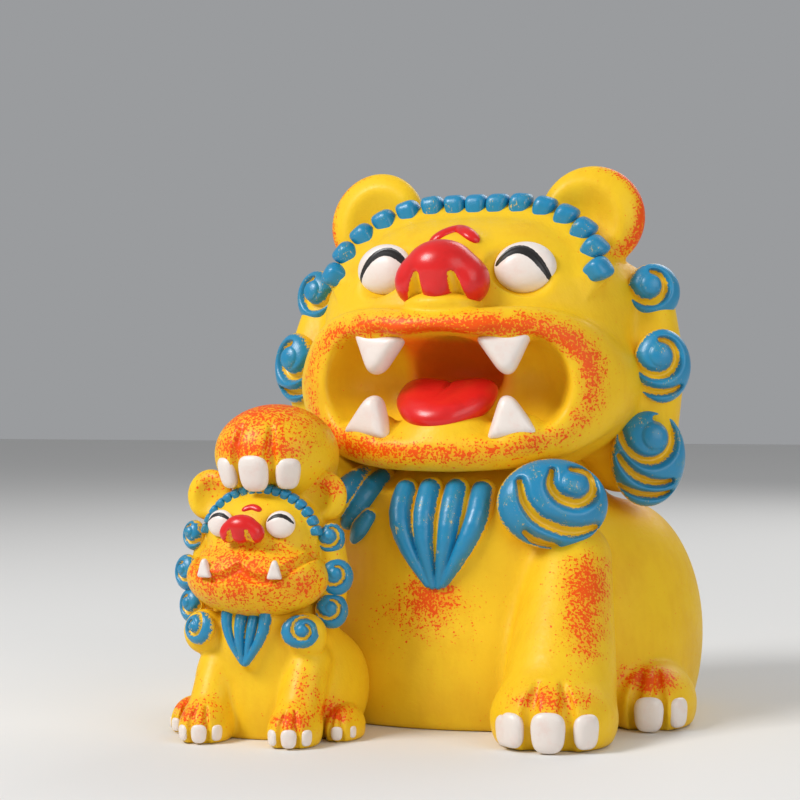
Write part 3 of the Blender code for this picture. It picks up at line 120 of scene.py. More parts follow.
# Hollow of the mouth from the mouth's middle: front, two pockets and throat
MOUTH_HOLLOW = (((0, -32.6, 0), (24.4, 24.6, 13.2), 0), ((-17.8, -27.3, 0), (15.2, 20.4, 13.4), 1.6),
                ((17.8, -27.3, 0), (15.2, 20.4, 13.4), 1.6), ((0, -13, 3), (11.8, 18.5, 9.2), 2.0))
MOUTH_FLOOR = ((0, -20, 70.5), (14, 13, 8.5), 2.0)
GUMS = (((19, -24, 71), (7.6, 6.5, 6.0), 2.0), ((16, -24.5, 97), (7.5, 5.5, 4.5), 2.0))
SOCKET = ((0, -2.4, 0.4), (9.0, 4.4, 7.8))
NOSE_BED = ((-0.4, -25.5, 103.6), (9.5, 6.0, 3.4), 1.5)
MARK_BED = ((1.0, -14, 118), (7.0, 5.5, 4.0), 3)

# An ear: radius, thickness, radius and depth of its dish
EAR = (13.6, 11, 8.4, 4.6)
CUB_EAR = (6.2, 4.6, 3.8, 2.3)

# Eyes: half sizes, bulge, and the lash's width and arc in shares of the half sizes
EYE_SHIFT = (-0.4, 0.2, -0.5)
EYE = ((7.8, 6.5), 4.0, 1.25, ((-0.90, 0.08), (0.0, 1.46), (0.88, -0.62)))
CUB_EYE = ((3.5, 3.2), 1.8, 0.5, ((-0.86, 0.22), (0.0, 1.12), (0.9, 0.1)))

# A nose's lobes, nostrils and their radii, as shares of its half sizes
NOSE_LOBES = (
    ((0, 0.05, 0.12), (0.78, 1.0, 0.90), 0), ((0, -0.1, -0.4), (0.40, 0.72, 0.58), 0.1),
    ((-0.62, 0.15, -0.26), (0.40, 0.80, 0.72), 0.16), ((0.62, 0.15, -0.26), (0.40, 0.80, 0.72), 0.16))
NOSTRIL = ((0.40, -0.80, -0.12), (0.45, -0.52, -0.6), (0.50, -0.28, -1.2))
NOSTRIL_WIDTHS = np.array((0.085, 0.14, 0.24))

# Noses: their shift from the solid and how much larger they are; marks: half width, height of the ends
# and of the top, and radius
NOSE = ((-0.5, -0.6, 0), (1.03, 1.05, 1.0))
CUB_NOSE = ((-0.3, -0.1, 1.5), (1.08, 1.0, 1.0))
MARK = (6.8, 119.2, 122.9, 2.1)
CUB_MARK = (2.5, 53.9, 54.8, 0.85)

# Tongue: half lengths behind and in front, height above and below, droop in degrees
TONGUE_LENGTHS = (8.2, 12.6)
TONGUE_HEIGHTS = (4.2, 5.0)
TONGUE_DROOP = 30

# Corners of the fangs as seen from the front, the x of each away from the lion's middle
UPPER_FANG = ((-0.8, -6.0), (2.2, -6.0), (7.2, 4.9), (-7.4, 3.2))
LOWER_FANG = ((-6.2, -4.9), (7.2, -3.4), (0.3, 6.4), (-2.8, 6.4))
CUB_FANG = ((-1.9, -1.9), (1.9, -1.9), (0.6, 2.5), (-0.5, 2.5))
FANG_THICK = 3.4
FANG_PITCH = 0.1
CUB_FANG_THICK = 1.0

# The three curls at each side of the lion's head, from the top: radius, and place from the mouth's middle
CURL_RADII = (7.0, 9.0, 11.3)
CURL_OUTS = (46.0, 49.5, 45.5)
CURL_BACKS = (9.0, 3.0, 5.0)
CURL_HEIGHTS = (23.5, 4.5, -18.5)

# Ridges that carry them: shares of a curl's radius behind it, of its distance sideways, and of its radius
CURL_RIDGES = ((1.05, 0.91, 0.93), (0.60, 1.03, 0.68))

# A curl: half sizes, thickness, knob and its radius, grooves, how steeply the blue ends at them, their
# depth, the back's share of the thickness, and the rings and spokes of the mesh. A groove is a turn round
# the knob (start, sweep, inner and outer radius, half width) or points with half widths.
Curl = namedtuple("Curl", "half thick knob knob_radius grooves edge depth back rings spokes",
                  defaults=(0.7, 60, 128))
SIDE_CURLS = (
    Curl((6.9, 7.2), 4.002, (-1.6, 1.5), 2.8, ((80, -255, 3.4, 5.0, 1.15),), 1.1, 2.484, 1.25),
    Curl((7.4, 9.3), 4.292, (-1.4, 2.8), 3.0,
         ((85, -265, 3.8, 6.0, 1.25), (-150, 95, 8.6, 9.6, 1.05)), 1.1, 2.664, 1.25),
    Curl((9.6, 12.4), 5.568, (0.2, 6.0), 3.4,
         ((80, -270, 4.2, 8.0, 1.35), (-148, 82, 9.8, 12.6, 1.2), (-122, 52, 14.8, 15.4, 1.0)),
         1.1, 3.456, 1.25))
SHOULDER_CURL = Curl((13.6, 10.9), 6.6, (4.9, 4.4), 3.6, (
    ((4.2, 8.0, 0.7), (8.6, 6.9, 1.1), (9.4, 2.6, 1.4), (5.8, -0.2, 1.5), (1.2, 0.9, 1.5), (-1.2, 4.0, 1.3),
     (-0.6, 7.6, 0.8)),
    ((-8.4, 5.2, 0.9), (-7.4, 0.0, 1.3), (-3.6, -4.4, 1.5), (3.9, -6.9, 1.5), (10.2, -5.7, 0.9)),
    ((-7.4, -6.9, 0.7), (-4.6, -8.9, 1.0), (0.3, -10.2, 0.8))), 1.1, 3.3, 0.7, 76, 150)
SHOULDER_CURL_PLACE = (28.4, -27.2, 55.0)
SHOULDER_CURL_WAY = (0.45, -0.88, 0.12)
NAPE_CURL = Curl((10.2, 10.6), 5.6, (-1.6, 3.0), 3.3,
                 ((85, -290, 3.8, 8.2, 1.3), (-150, 90, 11.2, 11.4, 1.1)), 1.1, 2.6)
NAPE_CURL_ANGLES = (-38.0, 0.0, 38.0)
CUB_CURL = Curl((0.96, 1.06), 2.6, (-0.6, 1.0), 1.3, ((85, -280, 1.6, 3.5, 0.55),), 0.5, 1.1, 0.7, 32, 72)
CUB_SPIRAL = Curl((4.7, 4.0), 2.4, (0.5, 0.3), 1.2, ((60, -430, 1.4, 3.9, 0.55),), 0.5, 1.1, 0.7, 36, 84)

# The cub's side curls from the top: radius, and place from the middle of its mouth
CUB_CURL_RADII = (3.5, 4.2, 4.1)
CUB_CURL_OUTS = (17.75, 19.35, 18.15)
CUB_CURL_BACKS = (5.5, 5.0, 5.0)
CUB_CURL_HEIGHTS = (9.2, 0.2, -7.8)

# Ribs are carried to the skin from this far behind their solid, at so many steps each, and stand out by
# this share of their thickness. A lock's bed: how far it is pushed in and thickened, and the mesh's grain.
RIB_REACH = 14
RIB_STEPS = 9
RIB_RISE = 0.35
BED_SOFT = 0.35
CHEST_BED = (1.9, 0.75, 0.36)
SHOULDER_BED = (2.0, 0.9, 0.36)
TAIL_BED = (1.8, 0.8, 0.45)
NAPE_BED = (1.6, 0.8, 0.6)
CUB_BED = (0.9, 0.35, 0.2)

# Ribs of the locks: x, z and thickness along each one. Mirrored ones start with their middle and top.
CHEST_RIBS = (0.4, 56.9, (
    ((9.7, 0.0, 2.5), (9.8, -5.0, 2.6), (8.3, -10.0, 2.3), (5.2, -16.0, 1.7), (1.9, -21.5, 1.0)),
    ((3.3, 0.4, 2.5), (3.3, -5.0, 2.5), (2.8, -11.0, 2.1), (1.8, -16.5, 1.5), (0.75, -22.0, 0.9))))
SHOULDER_RIBS = (
    ((-23.4, 61.0, 1.8), (-26.2, 57.5, 2.5), (-28.6, 52.6, 1.5)),
    ((-18.6, 59.5, 2.2), (-21.8, 54.6, 2.9), (-25.6, 49.4, 1.6)),
    ((-18.6, 50.4, 1.8), (-20.6, 47.8, 2.1), (-22.6, 45.4, 1.2)))
TAIL_RIBS = [((0.9 * i, 12.6 + 1.2 * abs(i), 0.9), (4.0 * i, 20.0, 1.7), (5.3 * i, 29.0, 2.2),
              (5.0 * i, 39.0, 2.1), (3.2 * i, 49.0, 1.6), (0.7 * i, 59.5 - 2.4 * abs(i), 0.8))
             for i in range(-2, 3)]
NAPE_RIBS = (0.0, 84.0, (
    ((7.0, -11.5, 1.3), (15.0, -14.0, 2.3), (24.0, -12.5, 2.4), (33.0, -6.0, 1.2)),
    ((7.0, 15.5, 1.2), (15.0, 18.0, 2.2), (24.0, 15.5, 2.3), (32.0, 9.0, 1.1)),
    ((5.0, 21.0, 1.2), (13.0, 24.5, 2.2), (22.0, 24.0, 2.2), (31.0, 18.0, 1.1))))
CUB_RIBS = (-36.8, 29.4, (
    ((4.9, 0.0, 1.3), (4.6, -3.0, 1.2), (3.4, -6.2, 1.0), (1.9, -8.8, 0.8), (0.7, -10.8, 0.6)),
    ((1.7, 0.3, 1.3), (1.6, -3.0, 1.15), (1.2, -6.2, 0.9), (0.7, -9.0, 0.65), (0.3, -11.2, 0.5))))

# The cub sits at the lion's right. Its body from there: seat, chest and shoulders; haunch and chest lock
CUB = np.array((-36.0, -44.0, 0.0))
CUB_EGGS = (((0, 0, 8), (20, 16, 24), 0), ((0, -4, 23), (15.2, 13, 12), 4), ((-1, -1, 31), (15.5, 10, 8), 3))
CUB_HAUNCH = ((12.8, 3, 10.6), (8.4, 13, 13.2), 2.5)
CUB_LOCK = (((-4.6, -14.5, 28.5), (0, -16.4, 18.5), (4.6, -14.5, 28.5)), (2.0, 1.2, 2.0))
CUB_PAD = ((0, 1.2, -1.2), (5.4, 3.6, 5.4), 0.8)
CUB_PAWS_SHIFT = 1.0

# The cub's head: middles and half sizes of skull and muzzle; its smile's half width and groove
CUB_MOUTH = np.array((-36.0, -56.0, 38.0))
CUB_MUZZLE_HALF = (17.6, 11.4, 9.4)
CUB_SKULL = np.array((-36.0, -49.0, 46.0))
CUB_SKULL_HALF = (15, 13.5, 13)
CUB_SMILE = 14.4
CUB_SMILE_RADIUS = 1.2
CUB_SOCKET = ((0, -1.1, 0.1), (4.1, 2.4, 3.8))
CUB_EYE_HEIGHT = 50.9
CUB_BROW_CENTRE = CUB_SKULL + (0, -5, 0)
CUB_BROW_END = np.radians(78)
CUB_BROW_RIDGE = 1.0
CUB_BEAD = (2.3, 2.7, 2.6)

# Spray and other soft spots of paint: strength, middle and radii
BODY_SPOTS = (
    (0.85, (-39, -46, 77), (18, 19, 12)), (0.55, (-36, -58, 68.5), (14, 6, 2.6)),
    (0.55, (-1, -34, 33), (9, 9, 4.5)), (0.42, (-3, -34, 27), (15, 9, 8)),
    (0.8, (38.5, -33, 38), (7.5, 12, 7.5)), (0.6, (40, -42, 26), (6, 12, 9)),
    (0.75, (37, -56, 12.3), (15, 8, 3.4)), (0.95, (51, -19, 12.5), (9, 9, 3.8)),
    (0.95, (-51, -19, 12.5), (9, 9, 3.8)), (0.35, (30, 44, 40), (14, 10, 12)),
    (0.35, (-32, 42, 34), (14, 10, 12)))
CUB_BODY_SPOTS = (
    (0.5, (14.5, -18, 13), (5, 8, 7)), (0.35, (-11, -19, 10), (6, 8, 5)),
    (0.62, (-11, -25, 6.3), (7, 7, 2.6)), (0.62, (13, -25, 6.3), (7, 7, 2.6)),
    (0.8, (19, -11, 7), (6, 6, 2.6)), (0.8, (-19, -11, 7), (6, 6, 2.6)))
UPPER_LIP_SPOT = (0.45, (4, -30, 100), (30, 20, 14))
LOWER_LIP_SPOT = (0.3, (-14, -30, 68), (24, 20, 12))
LIP_CORNER_SPOT = (0.3, (35, -20, 92), (8, 14, 12))
EAR_RIMS = (("left", 0.95), ("right", 0.7))

# Studio: the camera's lens, distance, height and turn, and each lamp's name, place, size and power
LENS = 86.985
SENSOR = 36.0
CAMERA_SHIFT = -75 / 800
CAMERA_DISTANCE = 0.5
CAMERA_HEIGHT = 0.08
CAMERA_TURN = np.radians(18)
LAMPS = (("key", (-0.55, -0.6, 0.75), 0.35, 8.5), ("fill", (0.7, -0.5, 0.4), 0.6, 2.2),
         ("back", (0.2, 0.8, 0.7), 0.6, 3.0))
LAMP_AIM = (0, 0, 0.07)
FLOOR_REACH = 3.0
FLOOR_COLOUR = (0.78, 0.77, 0.75, 1)
SKY_COLOUR = (0.9, 0.92, 0.95, 1)
SKY_STRENGTH = 0.36


class LionColours(bpy.types.PropertyGroup):
    """Paint colours of the ornament."""

    yellow: FloatVectorProperty(
        name="Yellow", description="Ground coat of both lions", subtype="COLOR",
        default=(0.88, 0.55, 0.015), min=0, max=1)
    # Amber: a deeper yellow, used as the paint's own tone in the brush streaks and as painted shade in the
    # mouth's pockets
    amber: FloatVectorProperty(
        name="Amber", description="Soft deep yellow in the hollows", subtype="COLOR",
        default=(0.72, 0.33, 0.006), min=0, max=1)
    spray: FloatVectorProperty(
        name="Spray", description="Orange-red droplets on the raised places", subtype="COLOR",
        default=(0.86, 0.09, 0.002), min=0, max=1)
    palate: FloatVectorProperty(
        name="Palate", description="Smooth orange in the roof of the mouth", subtype="COLOR",
        default=(0.95, 0.23, 0.01), min=0, max=1)
    blue: FloatVectorProperty(
        name="Blue", description="Curls of the mane", subtype="COLOR",
        default=(0.008, 0.23, 0.44), min=0, max=1)
    teal: FloatVectorProperty(
        name="Teal", description="Thin blue over yellow", subtype="COLOR",
        default=(0.03, 0.24, 0.3), min=0, max=1)
    red: FloatVectorProperty(
        name="Red", description="Noses, tongue and marks", subtype="COLOR",
        default=(0.72, 0.015, 0.014), min=0, max=1)
    white: FloatVectorProperty(
        name="White", description="Eyes, fangs and claws", subtype="COLOR",
        default=(0.82, 0.74, 0.68), min=0, max=1)
    lash: FloatVectorProperty(
        name="Lash", description="Closed eyes' black line", subtype="COLOR",
        default=(0.012, 0.009, 0.008), min=0, max=1)


class LionSizes(bpy.types.PropertyGroup):
    """Grain of the sculpted skins and of the paint."""

    body_grain: FloatProperty(
        name="Body grain", description="Size of the faces on the lion's body", unit="LENGTH",
        default=0.00078, min=0.0004, max=0.003)
    head_grain: FloatProperty(
        name="Head grain", description="Size of the faces on the lion's head", unit="LENGTH",
        default=0.00068, min=0.0004, max=0.003)
    cub_grain: FloatProperty(
        name="Cub grain", description="Size of the faces on the cub", unit="LENGTH",
        default=0.00042, min=0.0003, max=0.002)
    droplet: FloatProperty(
        name="Droplet", description="Size of a spray droplet", unit="LENGTH",
        default=0.0006, min=0.0002, max=0.002)
    brow_beads: IntProperty(
        name="Brow curls", description="Short curls in the row over the lion's brow",
        default=15, min=6, max=24)
    cub_brow_beads: IntProperty(
        name="Cub's brow curls", description="Short curls in the row over the cub's brow",
        default=17, min=6, max=24)


def sizes():
    return bpy.context.scene.lion_sizes


def box_mm(node):
    """Middle and half size of a solid node, in millimetres."""
    low, high = (np.array(corner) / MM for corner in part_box(node))
    return (low + high) / 2, (high - low) / 2


def at_side(node, side):
    """Middle of the left or right one of a pair of solid nodes, in millimetres."""
    return box_mm(node + ("_left" if side > 0 else "_right"))[0]


def through(points, steps):
    """A smooth line through the points, of cubic pieces that run along the line between neighbours:
    (2b + (c - a) t + (2a - 5b + 4c - d) t² + (3b - a - 3c + d) t³) / 2 from b to c, with a and d beside."""
    p = np.asarray(points, float)
    p = np.concatenate((2 * p[:1] - p[1:2], p, 2 * p[-1:] - p[-2:-1]))
    place = np.linspace(0, len(p) - 3 - 1e-9, steps)
    first = place.astype(int)
    t = (place - first)[:, None]
    a, b, c, d = (p[first + step] for step in range(4))
    square, cube = 2 * a - 5 * b + 4 * c - d, 3 * b - a - 3 * c + d
    return (2 * b + (c - a) * t + square * t ** 2 + cube * t ** 3) / 2


def spiral(centre, start, sweep, inner, outer, broad):
    """A groove's line and half width: an angle that turns from start by sweep degrees while its
    radius grows evenly in ratio. The groove is thinner at both ends."""
    t = np.linspace(0, 1, 12)
    angle = np.radians(start + sweep * t)
    radius = inner * (outer / inner) ** t
    thick = broad * np.sqrt(np.sin(np.pi * (0.1 + 0.8 * t)))
    return np.stack((centre[0] + radius * np.cos(angle), centre[1] + radius * np.sin(angle), thick), axis=1)


def mirrored(middle, top, lines):
    """Ribs to both sides of x = middle, from lines of (x, z, thickness) with z from the top."""
    return [np.array(line) * (side, 1, 1) + (middle, top, 0) for side in (-1, 1) for line in lines]


def egg(p, centre, radii):
    """Distance to an egg, near its skin: |q| (|q| - 1) / |q / radii|, with q the point over the radii."""
    q = [(a - c) / r for a, c, r in zip(p, centre, radii)]
    reach = np.sqrt(q[0] ** 2 + q[1] ** 2 + q[2] ** 2)
    slope = np.sqrt((q[0] / radii[0]) ** 2 + (q[1] / radii[1]) ** 2 + (q[2] / radii[2]) ** 2)
    return reach * (reach - 1) / np.maximum(slope, 1e-6)


def limb(p, start, end, thick, thin):
    """Distance to a tapered limb: that to the nearest point of its bone, less the radius there."""
    start, bone = np.asarray(start, float), np.subtract(end, start).astype(float)
    along = sum((a - s) * b for a, s, b in zip(p, start, bone)) / (bone @ bone)
    along = np.clip(along, 0, 1)
    gap = sum((a - s - b * along) ** 2 for a, s, b in zip(p, start, bone))
    return np.sqrt(gap) - (thick + (thin - thick) * along)


def strand(p, line, radii):
    """Distance to a tube along a line of points: the least of its tapered limbs."""
    return np.minimum.reduce([
        limb(p, line[i], line[i + 1], radii[i], radii[i + 1]) for i in range(len(line) - 1)])


def melt(a, b, k):
    """Smooth union of two fields: the smaller one, lowered by up to k / 4 where they are alike."""
    h = np.clip(0.5 + 0.5 * (b - a) / k, 0, 1)
    return b + (a - b) * h - k * h * (1 - h)


def carve(a, b, k):
    """Field a with the inside of b taken out, rounded by k."""
    return -melt(-a, b, k)


def melt_egg(p, field, row, side=1, origin=(0, 0, 0)):
    """A field with one more egg, from a row of a table of eggs, mirrored for side -1."""
    centre, radii, soft = row
    return melt(field, egg(p, np.array(centre) * (side, 1, 1) + origin, radii), soft)


def clump(p, rows, origin=(0, 0, 0)):
    """The field of a table of eggs, melted into each other in turn."""
    field = egg(p, np.array(rows[0][0]) + origin, rows[0][1])
    for row in rows[1:]:
        field = melt_egg(p, field, row, 1, origin)
    return field


def soft_step(low, high, value):
    """0 below low, 1 above high, and 3t² - 2t³ between."""
    t = np.clip((value - low) / (high - low), 0, 1)
    return t * t * (3 - 2 * t)


def spots(p, rows, origin=(0, 0, 0)):
    """Sum of soft spots: strength times exp(-|q|²), with q the distance from the middle over the radii."""
    total = 0
    for strength, centre, radii in rows:
        reach = sum(((a - c - o) / r) ** 2 for a, c, o, r in zip(p, centre, origin, radii))
        total = total + strength * np.exp(-reach)
    return total


def slope_of(field, points, step=0.04):
    """Gradient of a field at the points, by differences to both sides."""
    slope = np.empty_like(points)
    for axis in range(3):
        shift = np.zeros(3)
        shift[axis] = step
        slope[:, axis] = (field((points + shift).T) - field((points - shift).T)) / (2 * step)
    return slope


def settle(field, points, reach, steps=3):
    """Moves the points onto the skin by Newton's rule, p - F grad F / |grad F|², at most reach a step."""
    for _ in range(steps):
        slope = slope_of(field, points)
        size = np.maximum((slope ** 2).sum(axis=1), 0.25)
        move = -(field(points.T) / size)[:, None] * slope
        length = np.sqrt((move ** 2).sum(axis=1))
        points = points + move * np.minimum(1, reach / np.maximum(length, 1e-9))[:, None]
    return points


def skin(field, low, high, grain):
    """Skin of a field inside a box, as points and four-cornered faces.

    The field is worked out on a grid. A cell that the skin crosses gets a point, the mean of the
    crossings on its twelve edges, and a crossed edge gets a face between its four cells."""
    axes = [np.arange(a, b + grain, grain) for a, b in zip(low, high)]
    value = field(np.meshgrid(*axes, indexing="ij", sparse=True))
    inside = value < 0
    filled = sum(
        inside[tuple(slice(b, n - 1 + b) for b, n in zip(bits, value.shape))].astype(np.int8)
        for bits in np.ndindex(2, 2, 2))
    active = (filled > 0) & (filled < 8)
    cells = np.argwhere(active)
    total = np.zeros((len(cells), 3))
    count = np.zeros(len(cells))
    for start in np.ndindex(2, 2, 2):
        for axis in range(3):
            if start[axis]:
                continue
            end = np.array(start)
            end[axis] = 1
            near = value[tuple((cells + start).T)]
            far = value[tuple((cells + end).T)]
            crossed = (near < 0) != (far < 0)
            share = np.where(crossed, near / np.where(crossed, near - far, 1), 0)
            total += crossed[:, None] * np.array(start)
            total[:, axis] += crossed * share
            count += crossed
    points = np.array(low) + (cells + total / count[:, None]) * grain
    number = np.full(active.shape, -1)
    number[active] = np.arange(len(cells))
    faces = []
    for axis in range(3):
        one, two = (axis + 1) % 3, (axis + 2) % 3
        window = [slice(1, -1)] * 3
        window[axis] = slice(0, -1)
        lower = inside[tuple(window)]
        window[axis] = slice(1, None)
        upper = inside[tuple(window)]
        for crossed, corners in (
                (lower & ~upper, ((-1, -1), (0, -1), (0, 0), (-1, 0))),
                (upper & ~lower, ((-1, 0), (0, 0), (0, -1), (-1, -1)))):
            edge = np.argwhere(crossed)
            edge[:, [one, two]] += 1
            loop = []
            for step_one, step_two in corners:
                cell = edge.copy()
                cell[:, one] += step_one
                cell[:, two] += step_two
                loop.append(number[tuple(cell.T)])
            faces.append(np.stack(loop, axis=1))
    return settle(field, points, grain), [np.concatenate(faces)]


def tube_walls(first, rings, spokes):
    """Four-cornered faces between rings of points that are numbered in turn from the first one."""
    spoke = np.arange(spokes)
    beside = (spoke + 1) % spokes
    ring = first + spokes * np.arange(rings - 1)[:, None]
    after = ring + spokes
    return np.stack((ring + spoke, after + spoke, after + beside, ring + beside), axis=-1).reshape(-1, 4)


def disc_grid(rings, back_rings, spokes):
    """Grid of a closed pad: places on a unit disc, first on its front, then on its back.

    Ring i lies at the sine of its share of a quarter turn, so that rings crowd towards the rim.
    The front and the back end in a pole. Returns across, up, reach, is_front and the faces."""
    front = np.sin(np.pi / 2 * np.arange(1, rings + 1) / rings)
    back = np.sin(np.pi / 2 * np.arange(back_rings - 1, 0, -1) / back_rings)
    radius = np.concatenate((front, back))[:, None]
    angle = 2 * np.pi * np.arange(spokes)[None, :] / spokes
    across = np.concatenate(([0.0], (radius * np.cos(angle)).ravel(), [0.0]))
    up = np.concatenate(([0.0], (radius * np.sin(angle)).ravel(), [0.0]))
    is_front = np.concatenate(([True], np.repeat(np.arange(len(radius)) < rings, spokes), [False]))
    spoke = np.arange(spokes)
    beside = (spoke + 1) % spokes
    last = 1 + spokes * (len(radius) - 1)
    top = np.stack((np.zeros(spokes, int), 1 + spoke, 1 + beside), axis=-1)
    bottom = np.stack((np.full(spokes, last + spokes), last + beside, last + spoke), axis=-1)
    faces = [tube_walls(1, len(radius), spokes), top, bottom]
    return across, up, np.sqrt(across ** 2 + up ** 2), is_front, faces


def dome(reach, power):
    """Height of a pillow of radius 1: (1 - r^power)^0.5."""
    return np.sqrt(np.clip(1 - reach ** power, 0, 1))


def squared(across, up, reach, power):
    """What draws a disc's points out to a rounded square |x|^power + |y|^power = 1."""
    size = (np.abs(across) ** power + np.abs(up) ** power + 1e-9) ** (1 / power)
    return reach / np.maximum(size, 1e-6)


def facing(out, up=(0.0, 0.0, 1.0)):
    """Rows across, up and out of a plane that looks along out, with its up as near as can be to up."""
    out = np.asarray(out, float) / np.linalg.norm(out)
    across = np.cross(up, out)
    across /= np.linalg.norm(across)
    return np.array((across, np.cross(out, across), out))


def on_plane(centre, rows, across, up, out):
    """World points of a plane's own coordinates."""
    return np.asarray(centre) + across[:, None] * rows[0] + up[:, None] * rows[1] + out[:, None] * rows[2]


def seats(field, inside, ways, start=90.0):
    """Where lines from outside, against the ways and towards the inside points, first meet the skin.
    Returns the points and the ways in which the skin faces there."""
    inside, ways = np.broadcast_arrays(np.atleast_2d(inside), np.atleast_2d(ways))
    ways = ways / np.linalg.norm(ways, axis=1)[:, None]
    left = np.full(len(ways), start)
    for _ in range(70):
        left = left - 0.8 * np.clip(field((inside + ways * left[:, None]).T), -2, 30)
    points = inside + ways * left[:, None]
    slope = slope_of(field, points)
    return points, slope / np.linalg.norm(slope, axis=1)[:, None]


def toe_way(paw, step):
    """Level direction of a toe or crease, so many toes from the middle one."""
    angle = np.radians(paw.turn + step * CLAW_SPREAD)
    return np.array((np.sin(angle), -np.cos(angle), 0.0))


def mesh_piece(name, points, faces, slot, replaced=(), **paint):
    """Makes a mesh object of points in millimetres, with its paint values, and ties it to the frame."""
    mesh = bpy.data.meshes.new(name)
    corners = np.concatenate([part.ravel() for part in faces])
    counts = np.concatenate([np.full(len(part), part.shape[1]) for part in faces])
    mesh.vertices.add(len(points))
    mesh.vertices.foreach_set("co", (points * MM).astype(np.float32).ravel())
    mesh.loops.add(len(corners))
    mesh.loops.foreach_set("vertex_index", corners.astype(np.int32))
    mesh.polygons.add(len(counts))
    mesh.polygons.foreach_set("loop_start", np.concatenate(([0], np.cumsum(counts)[:-1])).astype(np.int32))
    mesh.polygons.foreach_set("loop_total", counts.astype(np.int32))
    mesh.update(calc_edges=True)
    mesh.shade_smooth()
    for key, values in paint.items():
        values = np.broadcast_to(values, len(points)).astype(np.float32)
        mesh.attributes.new(key, "FLOAT", "POINT").data.foreach_set("value", values)
    mesh.materials.append(paint_of(slot))
    piece = bpy.data.objects.new(name, mesh)
    bpy.context.scene.collection.objects.link(piece)
    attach(piece, "root")
    if replaced:
        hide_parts(*replaced)


def toes(p, field, paw):
    """A paw's field with two creases that run up its egg from low to high, and part its three toes."""
    heights = np.linspace(paw.low, paw.high, 4)
    share = np.sqrt(np.clip(1 - ((heights - paw.at[2]) / paw.radii[2]) ** 2, 0, 1))
    for step in (-0.5, 0.5):
        way = toe_way(paw, step)
        line = [(paw.at[0] + way[0] * paw.radii[0] * part, paw.at[1] + way[1] * paw.radii[1] * part, height)
                for part, height in zip(share, heights)]
        field = carve(field, strand(p, line, paw.crease * CREASE_TAPER), paw.soft)
    return field


def hind_foot(side):
    """The lion's hind foot on one side."""
    x, y, z = HIND_FOOT.at
    return HIND_FOOT._replace(at=(side * x, y, z), turn=side * HIND_FOOT.turn)


def cub_paw(side):
    """The cub's forepaw on one side, which looks to the cub's left on both."""
    x, y, z = CUB_PAW.at
    return CUB_PAW._replace(at=(CUB[0] + CUB_PAWS_SHIFT + side * x, CUB[1] + y, z))


def cub_foot(side):
    """The cub's hind foot on one side."""
    x, y, z = CUB_FOOT.at
    return CUB_FOOT._replace(at=(CUB[0] + side * x, CUB[1] + y, z), turn=side * CUB_FOOT.turn)


def body_field(p):
    """The lion's body: seat, chest and nape, haunches and feet, the leg that stands and the raised arm."""
    body = clump(p, BODY_EGGS)
    for side in (-1, 1):
        body = melt_egg(p, body, HAUNCH, side)
        foot = hind_foot(side)
        body = melt(body, toes(p, egg(p, foot.at, foot.radii), foot), 2.0)
    standing = melt(limb(p, *STANDING_LEG), egg(p, STANDING_PAW.at, STANDING_PAW.radii), 4)
    body = melt(body, toes(p, standing, STANDING_PAW), 4)
    arm = melt(strand(p, *RAISED_ARM), egg(p, RAISED_PAW.at, RAISED_PAW.radii), 5)
    body = melt(body, toes(p, arm, RAISED_PAW), 3)
    return carve(body, p[2], FLOOR_SOFT)


def lip_plane(p):
    """How far a point lies outside the lip's middle line, seen from the front: near it, (S - 1) / |grad S|,
    with S the rounded rectangle's |x / a|ⁿ + |z / b|ⁿ to the power 1 / n. The upper side sags."""
    x = p[0] / LIP_HALF[0]
    sag = LIP_SAG * np.cos(np.clip(x, -1, 1) * np.pi / 2) ** 2
    rise = p[2] - MOUTH[2]
    z = (rise + sag * soft_step(-4, 12, rise)) / LIP_HALF[1]
    n = LIP_ROUNDNESS
    size = (np.abs(x) ** n + np.abs(z) ** n + 1e-9) ** (1 / n)
    slope_x = (np.abs(x) / size) ** (n - 1) / LIP_HALF[0]
    slope_z = (np.abs(z) / size) ** (n - 1) / LIP_HALF[1]
    return (size - 1) / np.sqrt(slope_x ** 2 + slope_z ** 2 + 1e-9)


def lip_depth(p):
    """How far a point lies behind the lip's middle line, which sweeps back towards the corners."""
    return p[1] - (LIP_FRONT + LIP_SWEEP * np.clip((p[0] / LIP_HALF[0]) ** 2, 0, 1.6))


def curl_centre(side, index):
    """Middle of a curl at the side of the lion's head."""
    return MOUTH + (side * CURL_OUTS[index], CURL_BACKS[index], CURL_HEIGHTS[index])


def curl_out(side, index):
    """The way that a curl at the side of the head looks."""
    out = np.array((side * 0.58, -1.0, 0.06 - 0.09 * index))
    return out / np.linalg.norm(out)


def head_plain(p):
    """The lion's head without its mouth, ears and small forms. The skull is drawn out sideways."""
    head = egg(p, MOUTH, JAW_HALF)
    stretched = (np.sign(p[0]) * np.maximum(np.abs(p[0]) - SKULL_SPREAD, 0), p[1], p[2])
    head = melt(head, egg(stretched, SKULL, np.array(SKULL_HALF) - (SKULL_SPREAD, 0, 0)), 5)
    head = melt_egg(p, head, FOREHEAD)
    for side in (-1, 1):
        for behind, sideways, thick in CURL_RIDGES:
            bones = [(curl_centre(side, index) - curl_out(side, index) * behind * radius) * (sideways, 1, 1)
                     for index, radius in enumerate(CURL_RADII)]
            head = melt(head, strand(p, bones, thick * np.array(CURL_RADII)), 4)
    return head


def eye_place(side):
    """Middle of the lion's eye."""
    return at_side("eye", side) + EYE_SHIFT


